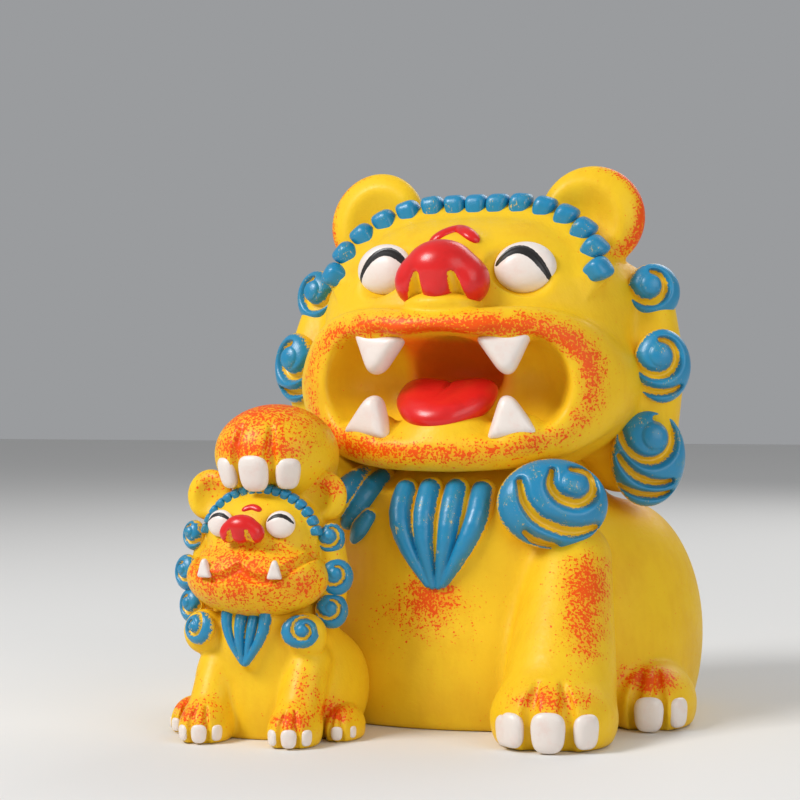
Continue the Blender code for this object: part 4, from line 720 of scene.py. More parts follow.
def ear_field(p, centre, shape, side):
    """A round ear, an egg with a humped back and a dish in its front."""
    radius, thick, dish, deep = shape
    turn = facing((side * 0.12, -1.0, 0.12))
    q = [sum((a - c) * w for a, c, w in zip(p, centre, row)) for row in turn]
    ear = egg(q, (0, 0, 0), (radius, radius, thick / 2))
    ear = melt(ear, egg(q, (0, 0, -0.2 * thick), (0.85 * radius, 0.85 * radius, 0.6 * thick)), 0.1 * radius)
    hollow = egg(q, (-side * 0.17 * radius, -0.14 * radius, 0.52 * thick), (dish, 1.1 * dish, deep))
    return carve(ear, hollow, 0.24 * radius)


def head_field(p):
    """The lion's head: skull and cheeks, the lip round the open mouth, the sockets and the ears."""
    head = head_plain(p)
    y, z = p[1] - BROW_CENTRE[1], p[2] - BROW_CENTRE[2]
    lean = z * -np.sin(BROW_LEAN) - y * np.cos(BROW_LEAN)
    turn = np.abs(np.arctan2(p[0], z * np.cos(BROW_LEAN) - y * np.sin(BROW_LEAN)))
    ridge = np.sqrt(lean ** 2 + head ** 2) - BROW_RIDGE + 20 * np.maximum(0, turn - BROW_END - 0.03)
    head = melt(head, ridge, 1.4)
    lip = np.sqrt(lip_plane(p) ** 2 + lip_depth(p) ** 2) - LIP_RADIUS
    head = melt(head, lip, 3.4)
    head = carve(head, clump(p, MOUTH_HOLLOW, MOUTH), 2.0)
    head = melt_egg(p, head, MOUTH_FLOOR)
    for side in (-1, 1):
        for gum in GUMS:
            head = melt_egg(p, head, gum, side)
        head = carve(head, egg(p, eye_place(side) + SOCKET[0], SOCKET[1]), 2.0)
        ear = at_side("ear", side) + (-side * 0.9, -4.0, -1.3)
        head = melt(head, ear_field(p, ear, EAR, side), 2.0)
    head = melt_egg(p, head, NOSE_BED)
    return melt_egg(p, head, MARK_BED)


def cub_pad_place(side):
    """Middle of the rolled curl on the cub's chest."""
    return np.array((CUB[0] - 0.5 + side * 12.9, -57.4, 25.9))


def cub_body_field(p):
    """The cub's body: seat, chest, haunches, forelegs and feet."""
    body = clump(p, CUB_EGGS, CUB)
    for side in (-1, 1):
        body = melt_egg(p, body, CUB_HAUNCH, side, CUB)
        foot = cub_foot(side)
        body = melt(body, toes(p, egg(p, foot.at, foot.radii), foot), 1.0)
        paw = cub_paw(side)
        leg = limb(p, (paw.at[0], CUB[1] - 9.5, 18), (paw.at[0], CUB[1] - 16.2, 6.2), 5.2, 5.3)
        leg = melt(leg, egg(p, paw.at, paw.radii), 2.0)
        body = melt(body, toes(p, leg, paw), 1.6)
        body = melt_egg(p, body, CUB_PAD, 1, cub_pad_place(side))
    line, radii = CUB_LOCK
    body = melt(body, strand(p, np.array(line) + CUB, radii), 2.0)
    return carve(body, p[2], CUB_FLOOR_SOFT)


def cub_smile():
    """The cub's closed mouth as seen from the front: two sagging arcs that meet in the middle."""
    share = np.linspace(-1, 1, 25)
    rise = 3.0 + 2.6 * share ** 2 - 3.1 * np.sin(np.pi * np.abs(share) ** 0.92)
    return CUB_MOUTH[0] + CUB_SMILE * share, CUB_MOUTH[2] + rise


def cub_head_plain(p):
    """The cub's skull and puffed cheeks, with the ridges that carry its curls."""
    head = egg(p, CUB_SKULL, CUB_SKULL_HALF)
    head = melt(head, egg(p, CUB_MOUTH, CUB_MUZZLE_HALF), 1.6)
    for side in (-1, 1):
        mane, half = box_mm("cub_mane_left" if side > 0 else "cub_mane_right")
        top = mane + (-side * 2.6, 2.0, half[2] - 5)
        foot = mane + (-side * 2.6, 2.0, 5 - half[2])
        middle = mane + (-side * 1.6, 1.6, 0)
        head = melt(head, limb(p, top, middle, 3.2, 3.6), 1.0)
        head = melt(head, limb(p, middle, foot, 3.6, 3.4), 1.0)
    return head


def cub_eye_place(side):
    """Middle of the cub's eye."""
    eye = at_side("cub_eye", side)
    return np.array((eye[0], eye[1] + 0.4, CUB_EYE_HEIGHT))


def cub_head_field(p):
    """The cub's head with its ears, eye sockets, the ridge of its brow row and the groove of its smile."""
    head = cub_head_plain(p)
    x, z = cub_smile()
    seam = strand((p[0], p[2]), np.stack((x, z), axis=1), np.zeros(len(x)))
    over = p[2] - np.interp(p[0], x, z)
    lip = 0.42 * soft_step(-0.2, 0.5, over) * soft_step(4.0, 0.6, over)
    head = head - lip * soft_step(-52, -58, p[1]) * soft_step(16, 13, np.abs(p[0] - CUB_MOUTH[0]))
    for side in (-1, 1):
        head = carve(head, egg(p, cub_eye_place(side) + CUB_SOCKET[0], CUB_SOCKET[1]), 0.9)
        ear = at_side("cub_ear", side) + (-1.7 - side * 0.6, 0, 3.0)
        head = melt(head, ear_field(p, ear, CUB_EAR, side), 0.9)
    ridge = np.sqrt((p[1] - CUB_BROW_CENTRE[1] - 0.2) ** 2 + head ** 2) - CUB_BROW_RIDGE
    turn = np.abs(np.arctan2(p[0] - CUB_SKULL[0], p[2] - CUB_SKULL[2]))
    head = melt(head, ridge + 4 * np.maximum(0, turn - CUB_BROW_END + np.radians(1)), 0.6)
    groove = np.sqrt(seam ** 2 + head ** 2) - CUB_SMILE_RADIUS + 2 * np.maximum(0, p[1] + 55)
    return carve(head, groove, 0.35)


class PaintNodes:
    """The nodes of one paint. Each method adds nodes and returns the output of the last."""

    def __init__(self, name, roughness, coat=0.0, gloss=0.5):
        self.material = bpy.data.materials.new(name)
        self.material.use_nodes = True
        self.nodes, self.links = self.material.node_tree.nodes, self.material.node_tree.links
        self.shader = self.nodes["Principled BSDF"]
        for key, value in (("Roughness", roughness), ("Coat Weight", coat), ("Coat Roughness", 0.25),
                           ("Specular IOR Level", gloss)):
            self.feed(self.shader.inputs[key], value)

    def feed(self, socket, value):
        """Links an input to an output, or sets it to a value."""
        if hasattr(value, "is_output"):
            self.links.new(value, socket)
        else:
            socket.default_value = value

    def add(self, kind, inputs, **settings):
        """A node with its settings and inputs."""
        node = self.nodes.new(kind)
        for key, value in settings.items():
            setattr(node, key, value)
        for key, value in inputs.items():
            self.feed(node.inputs[key], value)
        return node

    def attribute(self, name):
        """A paint value of the piece."""
        return self.add("ShaderNodeAttribute", {}, attribute_name=name).outputs["Fac"]

    def place(self):
        """Object coordinates."""
        return self.add("ShaderNodeTexCoord", {}).outputs["Object"]

    def noise(self, scale, detail=2.0, rough=0.5, stretch=None):
        """Noise on object coordinates, in features per metre, from about 0.2 to 0.8."""
        place = self.place()
        if stretch:
            place = self.add("ShaderNodeMapping", {"Vector": place, "Scale": stretch}).outputs["Vector"]
        return self.add("ShaderNodeTexNoise", {
            "Vector": place, "Scale": scale, "Detail": detail, "Roughness": rough}).outputs["Fac"]

    def maths(self, kind, *values):
        """A maths node on two or three values."""
        return self.add("ShaderNodeMath", dict(enumerate(values)), operation=kind).outputs[0]

    def scaled(self, value, factor, plus):
        """A value times a factor, plus another value."""
        return self.maths("MULTIPLY_ADD", value, factor, plus)

    def ramp(self, value, low, high, to_low=0.0, to_high=1.0):
        """Smooth step of a value from low to high."""
        return self.add("ShaderNodeMapRange", {
            "Value": value, "From Min": low, "From Max": high, "To Min": to_low, "To Max": to_high},
            interpolation_type="SMOOTHSTEP").outputs["Result"]

    def blend(self, share, a, b):
        """Mix of two colours."""
        node = self.add("ShaderNodeMix", {"Factor": share}, data_type="RGBA")
        for key, value in (("A", a), ("B", b)):
            socket = next(s for s in node.inputs if s.name == key and s.type == "RGBA")
            self.feed(socket, value if hasattr(value, "is_output") else (*value, 1.0))
        return next(s for s in node.outputs if s.type == "RGBA")

    def bump(self, height, strength, depth):
        """Fine relief on the shader, from a height."""
        node = self.add("ShaderNodeBump", {"Strength": strength, "Distance": depth, "Height": height})
        self.feed(self.shader.inputs["Normal"], node.outputs["Normal"])

    def warped(self, scale, reach):
        """Object coordinates, pushed about by a noise of that scale in features per metre, by that reach."""
        place = self.place()
        push = self.add("ShaderNodeTexNoise", {"Vector": place, "Scale": scale, "Detail": 1.0})
        return self.add("ShaderNodeVectorMath", {0: push.outputs["Color"], 1: (reach,) * 3, 2: place},
                        operation="MULTIPLY_ADD").outputs[0]

    def droplets(self, vector, size, amount, largest):
        """Round drops, one to a cell of that size where the cell's chance is below the amount."""
        cell = self.add("ShaderNodeTexVoronoi", {"Vector": vector, "Scale": 1 / size}).outputs
        chance = self.add("ShaderNodeSeparateColor", {"Color": cell["Color"]}).outputs
        radius = self.scaled(chance["Green"], 0.6 * largest, 0.4 * largest)
        drop = self.ramp(self.maths("SUBTRACT", radius, cell["Distance"]), 0.0, 0.07)
        there = self.ramp(self.maths("SUBTRACT", amount, chance["Red"]), 0.0, 0.03)
        return self.maths("MULTIPLY", drop, there)

    def ground(self):
        """The yellow ground coat, a little deeper in slow clouds and in brush streaks, and the streaks."""
        colours = bpy.context.scene.lion_colours
        cloud = self.noise(90, 3.0)
        streak = self.noise(420, 2.0, 0.6, (1.0, 1.0, 0.28))
        share = self.ramp(self.scaled(streak, 0.5, cloud), 0.62, 1.05, 0.0, 0.3)
        return self.blend(share, colours.yellow, colours.amber), streak

    def cover(self, value, ragged, reach, low, high):
        """How far a coat covers: a paint value with a ragged noise of that reach, ramped."""
        return self.ramp(self.scaled(ragged, reach, self.attribute(value)), low, high)


def yellow_material(paint, colours):
    """Yellow satin paint: painted shade of amber in the mouth's pockets, orange in the palate, spray
    droplets where the spray value says, fine grain.
    """
    ground, streak = paint.ground()
    # Painted shade: amber over the yellow where the amber value says, in the mouth's pockets
    ground = paint.blend(paint.attribute("amber"), ground, colours.amber)
    ground = paint.blend(paint.attribute("palate"), ground, colours.palate)
    spray = paint.attribute("spray")
    uneven = paint.scaled(paint.noise(260, 2.0), 0.7, -0.35)
    amount = paint.scaled(uneven, paint.ramp(spray, 0.0, 0.3), spray)
    droplet = sizes().droplet
    fine = paint.noise(0.95 / droplet, 2.0, 0.6)
    share = paint.ramp(paint.scaled(amount, 0.38, fine), 0.725, 0.755)
    few = paint.maths("MULTIPLY", amount, 0.3)
    drops = paint.droplets(paint.warped(1800, 0.0005), 1.5 * droplet, few, 0.42)
    share = paint.maths("MAXIMUM", share, drops)
    ground = paint.blend(paint.ramp(amount, 0.15, 1.0, 0.0, 0.5), ground, colours.spray)
    grain = paint.noise(900, 3.0, 0.6)
    height = paint.scaled(share, 0.2, paint.scaled(streak, 0.6, grain))
    paint.bump(height, 0.4, 0.00022)
    paint.feed(paint.shader.inputs["Roughness"], paint.ramp(grain, 0.3, 0.7, 0.4, 0.54))
    return paint.blend(share, ground, colours.spray)


def blue_material(paint, colours):
    """Blue satin paint brushed over yellow: it ends in a ragged edge where the ink value passes 0."""
    ground, _ = paint.ground()
    cover = paint.cover("ink", paint.noise(1500, 3.0, 0.65), 1.1, 0.5, 0.62)
    thin = paint.noise(2200, 4.0, 0.7, (1.0, 1.0, 0.5))
    body = paint.noise(260, 3.0)
    tone = paint.blend(paint.ramp(body, 0.48, 0.75, 0.0, 0.5), colours.blue, colours.teal)
    bare = paint.ramp(paint.scaled(body, 0.5, thin), 0.89, 0.99, 0.0, 0.75)
    tone = paint.blend(bare, tone, ground)
    paint.bump(paint.scaled(cover, 0.5, paint.noise(1100, 3.0, 0.6)), 0.4, 0.0002)
    paint.feed(paint.shader.inputs["Roughness"], paint.ramp(thin, 0.3, 0.7, 0.28, 0.46))
    return paint.blend(cover, ground, tone)


def red_material(paint, colours):
    """Glossy red paint with a faint brush grain, and yellow where the ink value is below 0."""
    ground, _ = paint.ground()
    cover = paint.cover("ink", paint.noise(1800, 2.0, 0.6), 0.5, 0.2, 0.3)
    deep = tuple(0.55 * value for value in colours.red)
    tone = paint.blend(paint.ramp(paint.noise(180, 2.0), 0.45, 0.8, 0.0, 0.4), colours.red, deep)
    paint.bump(paint.noise(700, 3.0, 0.6), 0.3, 0.0002)
    return paint.blend(cover, ground, tone)


def white_material(paint, colours):
    """Warm off-white satin paint, pinkish in thin places, and black where the lash value is above 0."""
    pink = tuple(value * share for value, share in zip(colours.white, (0.98, 0.78, 0.74)))
    tone = paint.blend(paint.ramp(paint.noise(320, 3.0, 0.6), 0.45, 0.8, 0.0, 0.45), colours.white, pink)
    cover = paint.cover("lash", paint.noise(1400, 2.0, 0.6), 0.3, 0.13, 0.2)
    paint.bump(paint.noise(800, 3.0, 0.6), 0.35, 0.0002)
    return paint.blend(cover, tone, colours.lash)


# What colours each paint, with its roughness, coat and gloss
PAINTS = {"yellow_paint": (yellow_material, 0.46, 0.06, 0.2), "blue_paint": (blue_material, 0.36, 0.2),
          "red_paint": (red_material, 0.28, 0.28, 0.3), "white_paint": (white_material, 0.4, 0.15)}


def paint_of(slot):
    """The material of that slot, made once."""
    name = "brushed_" + slot
    if name not in bpy.data.materials:
        maker, *finish = PAINTS[slot]
        paint = PaintNodes(name, *finish)
        paint.feed(paint.shader.inputs["Base Color"], maker(paint, bpy.context.scene.lion_colours))
    return bpy.data.materials[name]


def no_paint(p):
    """Nothing, anywhere."""
    return 0.0


def yellow_piece(name, field, box, grain, replaced, spray, **paint):
    """A big form: the skin of its field, with how much spray, amber painted shade and palate orange each
    point gets.
    """
    points, faces = skin(field, *box, grain / MM)
    values = {"spray": spray, "amber": no_paint, "palate": no_paint, **paint}
    values = {key: np.clip(value(points.T), 0, 1) for key, value in values.items()}
    mesh_piece(name, points, faces, "yellow_paint", replaced, **values)


def body_spray(p):
    """Spray on the raised paw, under the chest lock, on the standing leg, on the toes and the back."""
    return spots(p, BODY_SPOTS)


def head_spray(p):
    """Spray along the crest of the lip and on the rims of the ears."""
    lip = np.exp(-((lip_plane(p) - 0.4) / 3.4) ** 2) * soft_step(2.5, -3.5, lip_depth(p))
    upper = soft_step(-6, 8, p[2] - MOUTH[2])
    place = 0.5 + upper * spots(p, [UPPER_LIP_SPOT]) + (1 - upper) * spots(p, [LOWER_LIP_SPOT])
    place = place + spots(p, [LIP_CORNER_SPOT])
    rims = 0
    for word, amount in EAR_RIMS:
        ear, half = box_mm("ear_" + word)
        reach = np.sqrt((p[0] - ear[0]) ** 2 + (p[2] - ear[2]) ** 2)
        outward = (p[0] - ear[0]) * np.sign(ear[0]) / half[0]
        rims = rims + amount * soft_step(8.5, 13, reach) * soft_step(-0.4, 0.7, outward)
    return lip * place + rims * soft_step(112, 122, p[2])


def head_amber(p):
    """Painted shade in the mouth's pockets: a deeper yellow where they lie in shadow."""
    return 0.55 * soft_step(-14, -6, p[1]) * soft_step(12, 4, p[1]) * soft_step(-1, -5, lip_plane(p))


def head_palate(p):
    """Orange in the roof and the back of the mouth."""
    inside = soft_step(-0.5, -3, lip_plane(p)) * soft_step(-32, -27, p[1]) * soft_step(12, 4, p[1])
    return inside * soft_step(15.5, 10, np.abs(p[0])) * soft_step(78, 86, p[2])


def cub_body_spray(p):
    """Spray on the cub's forelegs, paws and feet."""
    return spots(p, CUB_BODY_SPOTS, CUB)


def cub_head_spray(p):
    """Spray all over the cub's muzzle and on its ears."""
    ears = [(0.6, at_side("cub_ear", side) + (0, -1, 6), (6, 6, 4)) for side, _ in SIDES]
    return spots(p, [(0.72, CUB_MOUTH + (0, -8, 1), (26, 15, 10)), *ears])


def eye_piece(name, node, centre, eye, side):
    """A closed laughing eye: a dome of height h (1 - r^2.2)^0.5, with a groove along the arc of the lash."""
    half, bulge, lash_width, lash_arc = eye
    across, up, reach, front, faces = disc_grid(44, 8, 96)
    u, v = across * half[0], up * half[1]
    t = np.linspace(0, 1, 80)[:, None]
    corners = np.array(lash_arc) * half
    arc = (1 - t) ** 2 * corners[0] + 2 * t * (1 - t) * corners[1] + t ** 2 * corners[2]
    gap = np.sqrt((side * u[:, None] - arc[:, 0]) ** 2 + (v[:, None] - arc[:, 1]) ** 2)
    along = t[gap.argmin(axis=1), 0]
    gap = gap.min(axis=1)
    width = lash_width * (0.35 + 0.65 * np.sin(np.pi * along) ** 0.7)
    over = v - np.interp(side * u, arc[:, 0], arc[:, 1])
    pillow = dome(reach, 2.2)
    groove = 0.5 * lash_width * np.exp(-(gap / (0.9 * lash_width)) ** 2)
    lid = 0.6 * lash_width * soft_step(0, 0.6 * lash_width, over)
    out = np.where(front, bulge - groove - lid, -0.6 * bulge) * pillow
    points = on_plane(centre, facing((side * 0.16, -1.0, 0.10)), u, v, out)
    mesh_piece(name, points, faces, "white_paint", (node,), lash=np.where(front, width - gap, -1.0))


def nose_piece(name, node, shift, grow):
    """Three red lobes side by side, parted by two nostrils that are cut up from below."""
    centre, half = box_mm(node)
    centre, half = centre + shift, half * grow
    width = half[0]

    def notch(p):
        return np.minimum(*(
            strand(p, centre + np.array(NOSTRIL) * half * (side, 1, 1), NOSTRIL_WIDTHS * width)
            for side in (-1, 1)))

    def field(p):
        lobes = [(half * at, half * radii, width * soft) for at, radii, soft in NOSE_LOBES]
        return carve(clump(p, lobes, centre), notch(p), 0.06 * width)

    points, faces = skin(field, centre - 1.14 * half, centre + 1.14 * half, width / 32)
    ink = 1.2 * notch(points.T) - 0.01 * width
    mesh_piece(name, points, faces, "red_paint", (node,), ink=ink)


def mark_piece(name, node, field, half_width, low, high, radius):
    """The arched mark over the nose: a round ridge bent along an arch, thin at its ends."""
    rings, spokes = 41, 24
    centre, _ = box_mm(node)
    share = np.linspace(-1, 1, rings)
    x = centre[0] + share * half_width
    z = low + (high - low) * (1 - np.abs(share) ** 1.6)
    line, out = seats(field, np.stack((x, np.full(rings, centre[1] + 16), z), axis=1), (0, -1, 0))
    angle = 2 * np.pi * np.arange(spokes)[None, :] / spokes
    thick = radius * dome(np.abs(share), 4)[:, None]
    across = np.gradient(line, axis=0)
    across /= np.linalg.norm(across, axis=1)[:, None]
    side = np.cross(out, across)
    points = (line[:, None, :] + (thick * np.cos(angle))[..., None] * side[:, None, :]
              + (0.62 * thick * np.sin(angle))[..., None] * out[:, None, :])
    mesh_piece(name, points.reshape(-1, 3), [tube_walls(0, rings, spokes)], "red_paint", (node,), ink=1.0)


def tongue_piece():
    """A thick tongue that droops forward: a pillow, straight behind and round in front, with a crease."""
    across, up, reach, front, faces = disc_grid(40, 20, 112)
    way = np.arctan2(up, across)
    power = np.where(up > 0, 4.5, 2.1)
    stretch = (np.abs(np.cos(way)) ** power + np.abs(np.sin(way)) ** power) ** (-1 / power)
    centre, half = box_mm("tongue")
    u = across * stretch * (half[0] - 0.1) * (1 - 0.18 * soft_step(0.1, -1, up))
    v = up * stretch * np.where(up > 0, *TONGUE_LENGTHS) + 1.6
    v = v - 0.8 * np.exp(-(u / 2.6) ** 2) * soft_step(0.3, 1.0, up)
    above, below = TONGUE_HEIGHTS
    dip = 1.4 * np.exp(-(u / 7.5) ** 2) * soft_step(-0.75, 0.3, up)
    crease = 0.9 * np.exp(-(u / 0.7) ** 2) * soft_step(-0.35, 0.5, up)
    out = np.where(front, above - dip - crease, -below) * dome(reach, 3)
    droop = np.radians(TONGUE_DROOP)
    rows = np.array(((1, 0, 0), (0, np.cos(droop), np.sin(droop)), (0, -np.sin(droop), np.cos(droop))))
    points = on_plane(centre + (-0.8, 0, 0.7), rows, u, v, out)
    mesh_piece("tongue_glossy", points, faces, "red_paint", ("tongue",), ink=1.0)


def fang_piece(name, node, shift, corners, thick, side, pitch=0.0):
    """A blunt tooth: a pillow whose outline has straight sides and round corners.

    In each direction d the outline lies at 1 / (sum (n . d / h)⁷)^(1/7), with n the way that an edge
    faces and h its distance from the middle."""
    across, up, reach, front, faces = disc_grid(26, 20, 72)
    corner = (np.array(corners) * (side, 1))[::side]
    edge = np.roll(corner, -1, axis=0) - corner
    normal = np.stack((edge[:, 1], -edge[:, 0]), axis=1)
    normal /= np.linalg.norm(normal, axis=1)[:, None]
    distance = (normal * corner).sum(axis=1)
    aim = np.stack((across, up), axis=1) / np.maximum(reach, 1e-9)[:, None]
    gauge = (np.clip(aim @ normal.T / distance, 0, None) ** 7).sum(axis=1) ** (1 / 7)
    size = reach / np.maximum(gauge, 1e-6)
    out = np.where(front, thick, -thick) * dome(reach, 4.5)
    centre, _ = box_mm(node)
    rows = facing((side * 0.22, -1, pitch))
    points = on_plane(centre + shift, rows, size * aim[:, 0], size * aim[:, 1], out)
    mesh_piece(name, points, faces, "white_paint", (node,), lash=-1.0)


def bead_row(name, node, field, centre, lean, count, end, bead, stand):
    """A row of short curls over the brow: pebbles, wide above and narrow below, that look forwards."""
    wide, tall, thick = bead
    angle = np.linspace(-end, end, count)
    up = np.array((0, -np.sin(lean), np.cos(lean)))
    ways = np.sin(angle)[:, None] * np.array((1.0, 0, 0)) + np.cos(angle)[:, None] * up
    seat, out = seats(field, centre, ways, 60)
    across, along, reach, front, faces = disc_grid(12, 10, 36)
    stretch = squared(across, along, reach, 3.6)
    points, groups, ink = [], [[], [], []], []
    for index, turn in enumerate(angle):
        lift = out[index] + 0.35 * ways[index]
        lift /= np.linalg.norm(lift)
        look = np.array((0.2 * np.sin(turn), -1.0, 0.0))
        look = look - lift * (look @ lift)
        look /= np.linalg.norm(look)
        rows = np.array((np.cross(lift, look), lift, look))
        bow = np.sign(turn) * 0.14 * wide * (along ** 2 - 0.4)
        u = across * stretch * wide / 2 * (1 + 0.22 * along) + bow
        v = along * stretch * tall / 2
        w = np.where(front, thick, -thick) / 2 * dome(reach, 4.4)
        points.append(on_plane(seat[index] + lift * stand - look * 0.1 * thick, rows, u, v, w))
        ink.append(np.where(front, 0.55, 0.3) - 0.5 * soft_step(-0.4, -0.95, along))
        for group, part in zip(groups, faces):
            group.append(part + index * len(u))
    mesh_piece(name, np.concatenate(points), [np.concatenate(group) for group in groups],
               "blue_paint", (node,), ink=np.concatenate(ink))


def curl_piece(name, node, centre, out, curl, hand):
    """A rolled curl of the mane in the plane that looks along out: a fat pillow T (1 - r^2.6)^0.5, with
    grooves cut along the given lines and a knob in the eye of the curl. Mirrored for hand -1."""
    half, thick = curl.half, curl.thick
    across, up, reach, front, faces = disc_grid(curl.rings, 8, curl.spokes)
    middle = np.array(curl.knob) * 0.8
    u = across * half[0] + middle[0] * (1 - reach ** 1.5)
    v = up * half[1] + middle[1] * (1 - reach ** 1.5)
    round_reach = np.sqrt((u / half[0]) ** 2 + (v / half[1]) ** 2)
    pillow = dome(np.minimum(round_reach, 1), 2.6)
    gap = np.full(len(u), 99.0)
    for groove in curl.grooves:
        line = through(spiral(curl.knob, *groove) if np.ndim(groove) == 1 else groove, 80)
        far = np.sqrt((u[:, None] - line[:, 0]) ** 2 + (v[:, None] - line[:, 1]) ** 2)
        gap = np.minimum(gap, far.min(axis=1) / line[far.argmin(axis=1), 2])
    rolled = curl.depth * np.exp(-np.abs(gap) ** 2.2) * np.minimum(1, 2.4 * pillow)
    eye = np.sqrt((u - curl.knob[0]) ** 2 + (v - curl.knob[1]) ** 2)
    crown = 0.2 * thick * dome(eye / curl.knob_radius, 2)
    w = np.where(front, thick * pillow + crown - rolled, -curl.back * thick * pillow)
    rim = (1 - round_reach) * min(half)
    ink = np.where(front, np.minimum(curl.edge * (gap - 0.72), rim - 0.1), -0.2)
    points = on_plane(centre, facing(out), hand * u, v, w)
    mesh_piece(name, points, [part[:, ::hand] for part in faces], "blue_paint", (node,), ink=ink)


def ribs_piece(name, node, field, lines, back, bed, start=70.0):
    """A lock of round ribs on a yellow bed. Each line holds (x, z, thickness) along a rib as seen from
    the front, and is carried to the skin of the field, in front (back -1) or behind (back 1). The bed is
    the ribs, thickened by grow and pushed in by sink."""
    sink, grow, grain = bed
    way = np.array((0.0, back, 0.0))
    centre, half = box_mm(node)
    inside = centre[1] - np.sign(centre[1]) * (half[1] + RIB_REACH)
    ribs = []
    for line in lines:
        line = through(line, RIB_STEPS)
        flat = np.stack((line[:, 0], np.full(len(line), inside), line[:, 1]), axis=1)
        seat, out = seats(field, flat, way, start)
        ribs.append((seat + out * RIB_RISE * line[:, 2:], line[:, 2]))

    def blue(p):
        return np.minimum.reduce([strand(p, seat, radii) for seat, radii in ribs])

    def whole(p):
        sunk = blue([axis + step for axis, step in zip(p, way * sink)]) - grow
        return melt(blue(p), sunk, BED_SOFT)

    seat = np.concatenate([seat for seat, _ in ribs])
    points, faces = skin(whole, seat.min(axis=0) - 5, seat.max(axis=0) + 5, grain)
    mesh_piece(name, points, faces, "blue_paint", (node,), ink=0.42 - 1.5 * blue(points.T))


def claw_group(stem, field, paw, replaced=True):
    """Three claws: rounded shields that stand on the toes, domed by h (1 - r⁴)^0.5."""
    across, up, reach, front, faces = disc_grid(16, 4, 48)
    stretch = squared(across, up, reach, 3.2)
    scale = paw.claw_scale
    for step, word in ((-1, "inner"), (0, "middle"), (1, "outer")):
        wide, tall = np.array(CLAW_SIZE) * scale * (OUTER_CLAW if step else (1.0, 1.0))
        seat, out = seats(field, (paw.at[0], paw.at[1], paw.claw_height), toe_way(paw, step), 40)
        u = across * stretch * wide / 2 * (1 + 0.08 * up)
        v = up * stretch * tall / 2 - 0.05 * tall * across ** 2 * (up > 0)
        bulge = np.where(front, CLAW_BULGE * scale, -CLAW_BULGE * scale)
        w = bulge * dome(reach, 4) - CLAW_SINK * scale - 0.035 / scale * u ** 2
        points = on_plane(seat[0], facing(out[0] * (1, 1, 0.6)), u, v, w)
        points[:, 2] = np.maximum(points[:, 2], 0.15)
        nodes = (f"{stem}_{word}",) if replaced else ()
        mesh_piece(f"{stem}_shield_{word}", points, faces, "white_paint", nodes, lash=-1.0)


class LION_OT_body(bpy.types.Operator):
    """The lion's body with its legs, a blended field"""

    bl_idname = "lion.body"
    bl_label = "Body and legs"

    def execute(self, context):
        nodes = ("torso", "left_foreleg", "right_foreleg", "left_hind_leg", "right_hind_leg")
        yellow_piece("lion_body", body_field, BODY_BOX, sizes().body_grain, nodes, body_spray)
        return {"FINISHED"}


class LION_OT_head(bpy.types.Operator):
    """The lion's head with the open mouth and the ears, a blended field"""

    bl_idname = "lion.head"
    bl_label = "Head and ears"

    def execute(self, context):
        nodes = ("head", "ear_left", "ear_right")
        # The amber value paints shade into the mouth's pockets
        yellow_piece("lion_head", head_field, HEAD_BOX, sizes().head_grain, nodes, head_spray,
                     amber=head_amber, palate=head_palate)
        return {"FINISHED"}


class LION_OT_face(bpy.types.Operator):
    """Eyes, nose and mark of the lion"""

    bl_idname = "lion.face"
    bl_label = "Eyes, nose and mark"

    def execute(self, context):
        for side, word in reversed(SIDES):
            eye_piece("lion_eye_" + word, "eye_" + word, eye_place(side) + (0, 0.9, 0), EYE, side)
        nose_piece("lion_nose", "nose", *NOSE)
        mark_piece("lion_mark", "brow_mark", head_field, *MARK)
        return {"FINISHED"}


class LION_OT_mouth(bpy.types.Operator):
    """Tongue and fangs of the lion"""

    bl_idname = "lion.mouth"
    bl_label = "Tongue and fangs"

    def execute(self, context):
        tongue_piece()
        for side, word in SIDES:
            upper, lower = (side * 0.9, -1.2, 1.6), (-side * 0.5, -3.0, -1.9)
            for kind, place, corners in (("upper", upper, UPPER_FANG), ("lower", lower, LOWER_FANG)):
                fang_piece(f"fang_{kind}_{word}", f"{kind}_fang_{word}", place, corners, FANG_THICK, side,
                           FANG_PITCH)
        return {"FINISHED"}


class LION_OT_brow(bpy.types.Operator):
    """Row of short curls over the lion's brow"""

    bl_idname = "lion.brow"
    bl_label = "Brow row"

    def execute(self, context):
        bead_row("lion_brow_curls", "brow_row", head_plain, BROW_CENTRE, BROW_LEAN,
                 sizes().brow_beads, BROW_END, BROW_BEAD, 1.0)
        return {"FINISHED"}


class LION_OT_mane(bpy.types.Operator):
    """Rolled curls at the sides of the lion's head, on its nape and on its shoulder"""

    bl_idname = "lion.mane"
    bl_label = "Mane curls"

    def execute(self, context):
        for side, word in SIDES:
            for index, curl in enumerate(SIDE_CURLS):
                ending = f"{word}_{index + 1}"
                curl_piece("lion_curl_" + ending, "mane_curl_" + ending, curl_centre(side, index),
                           curl_out(side, index), curl, side)
        curl_piece("lion_shoulder_curl", "shoulder_curl", SHOULDER_CURL_PLACE, SHOULDER_CURL_WAY,
                   SHOULDER_CURL, 1)
        for index, angle in enumerate(np.radians(NAPE_CURL_ANGLES)):
            seat, out = seats(head_plain, MOUTH + (0, 0, 3), (np.sin(angle), np.cos(angle), 0))
            curl_piece(f"lion_nape_curl_{index + 1}", "nape_curls", seat[0] + out[0], out[0], NAPE_CURL,
                       -1 if angle < 0 else 1)
        ribs_piece("lion_nape_strands", "nape_curls", head_plain, mirrored(*NAPE_RIBS), 1, NAPE_BED)
        return {"FINISHED"}


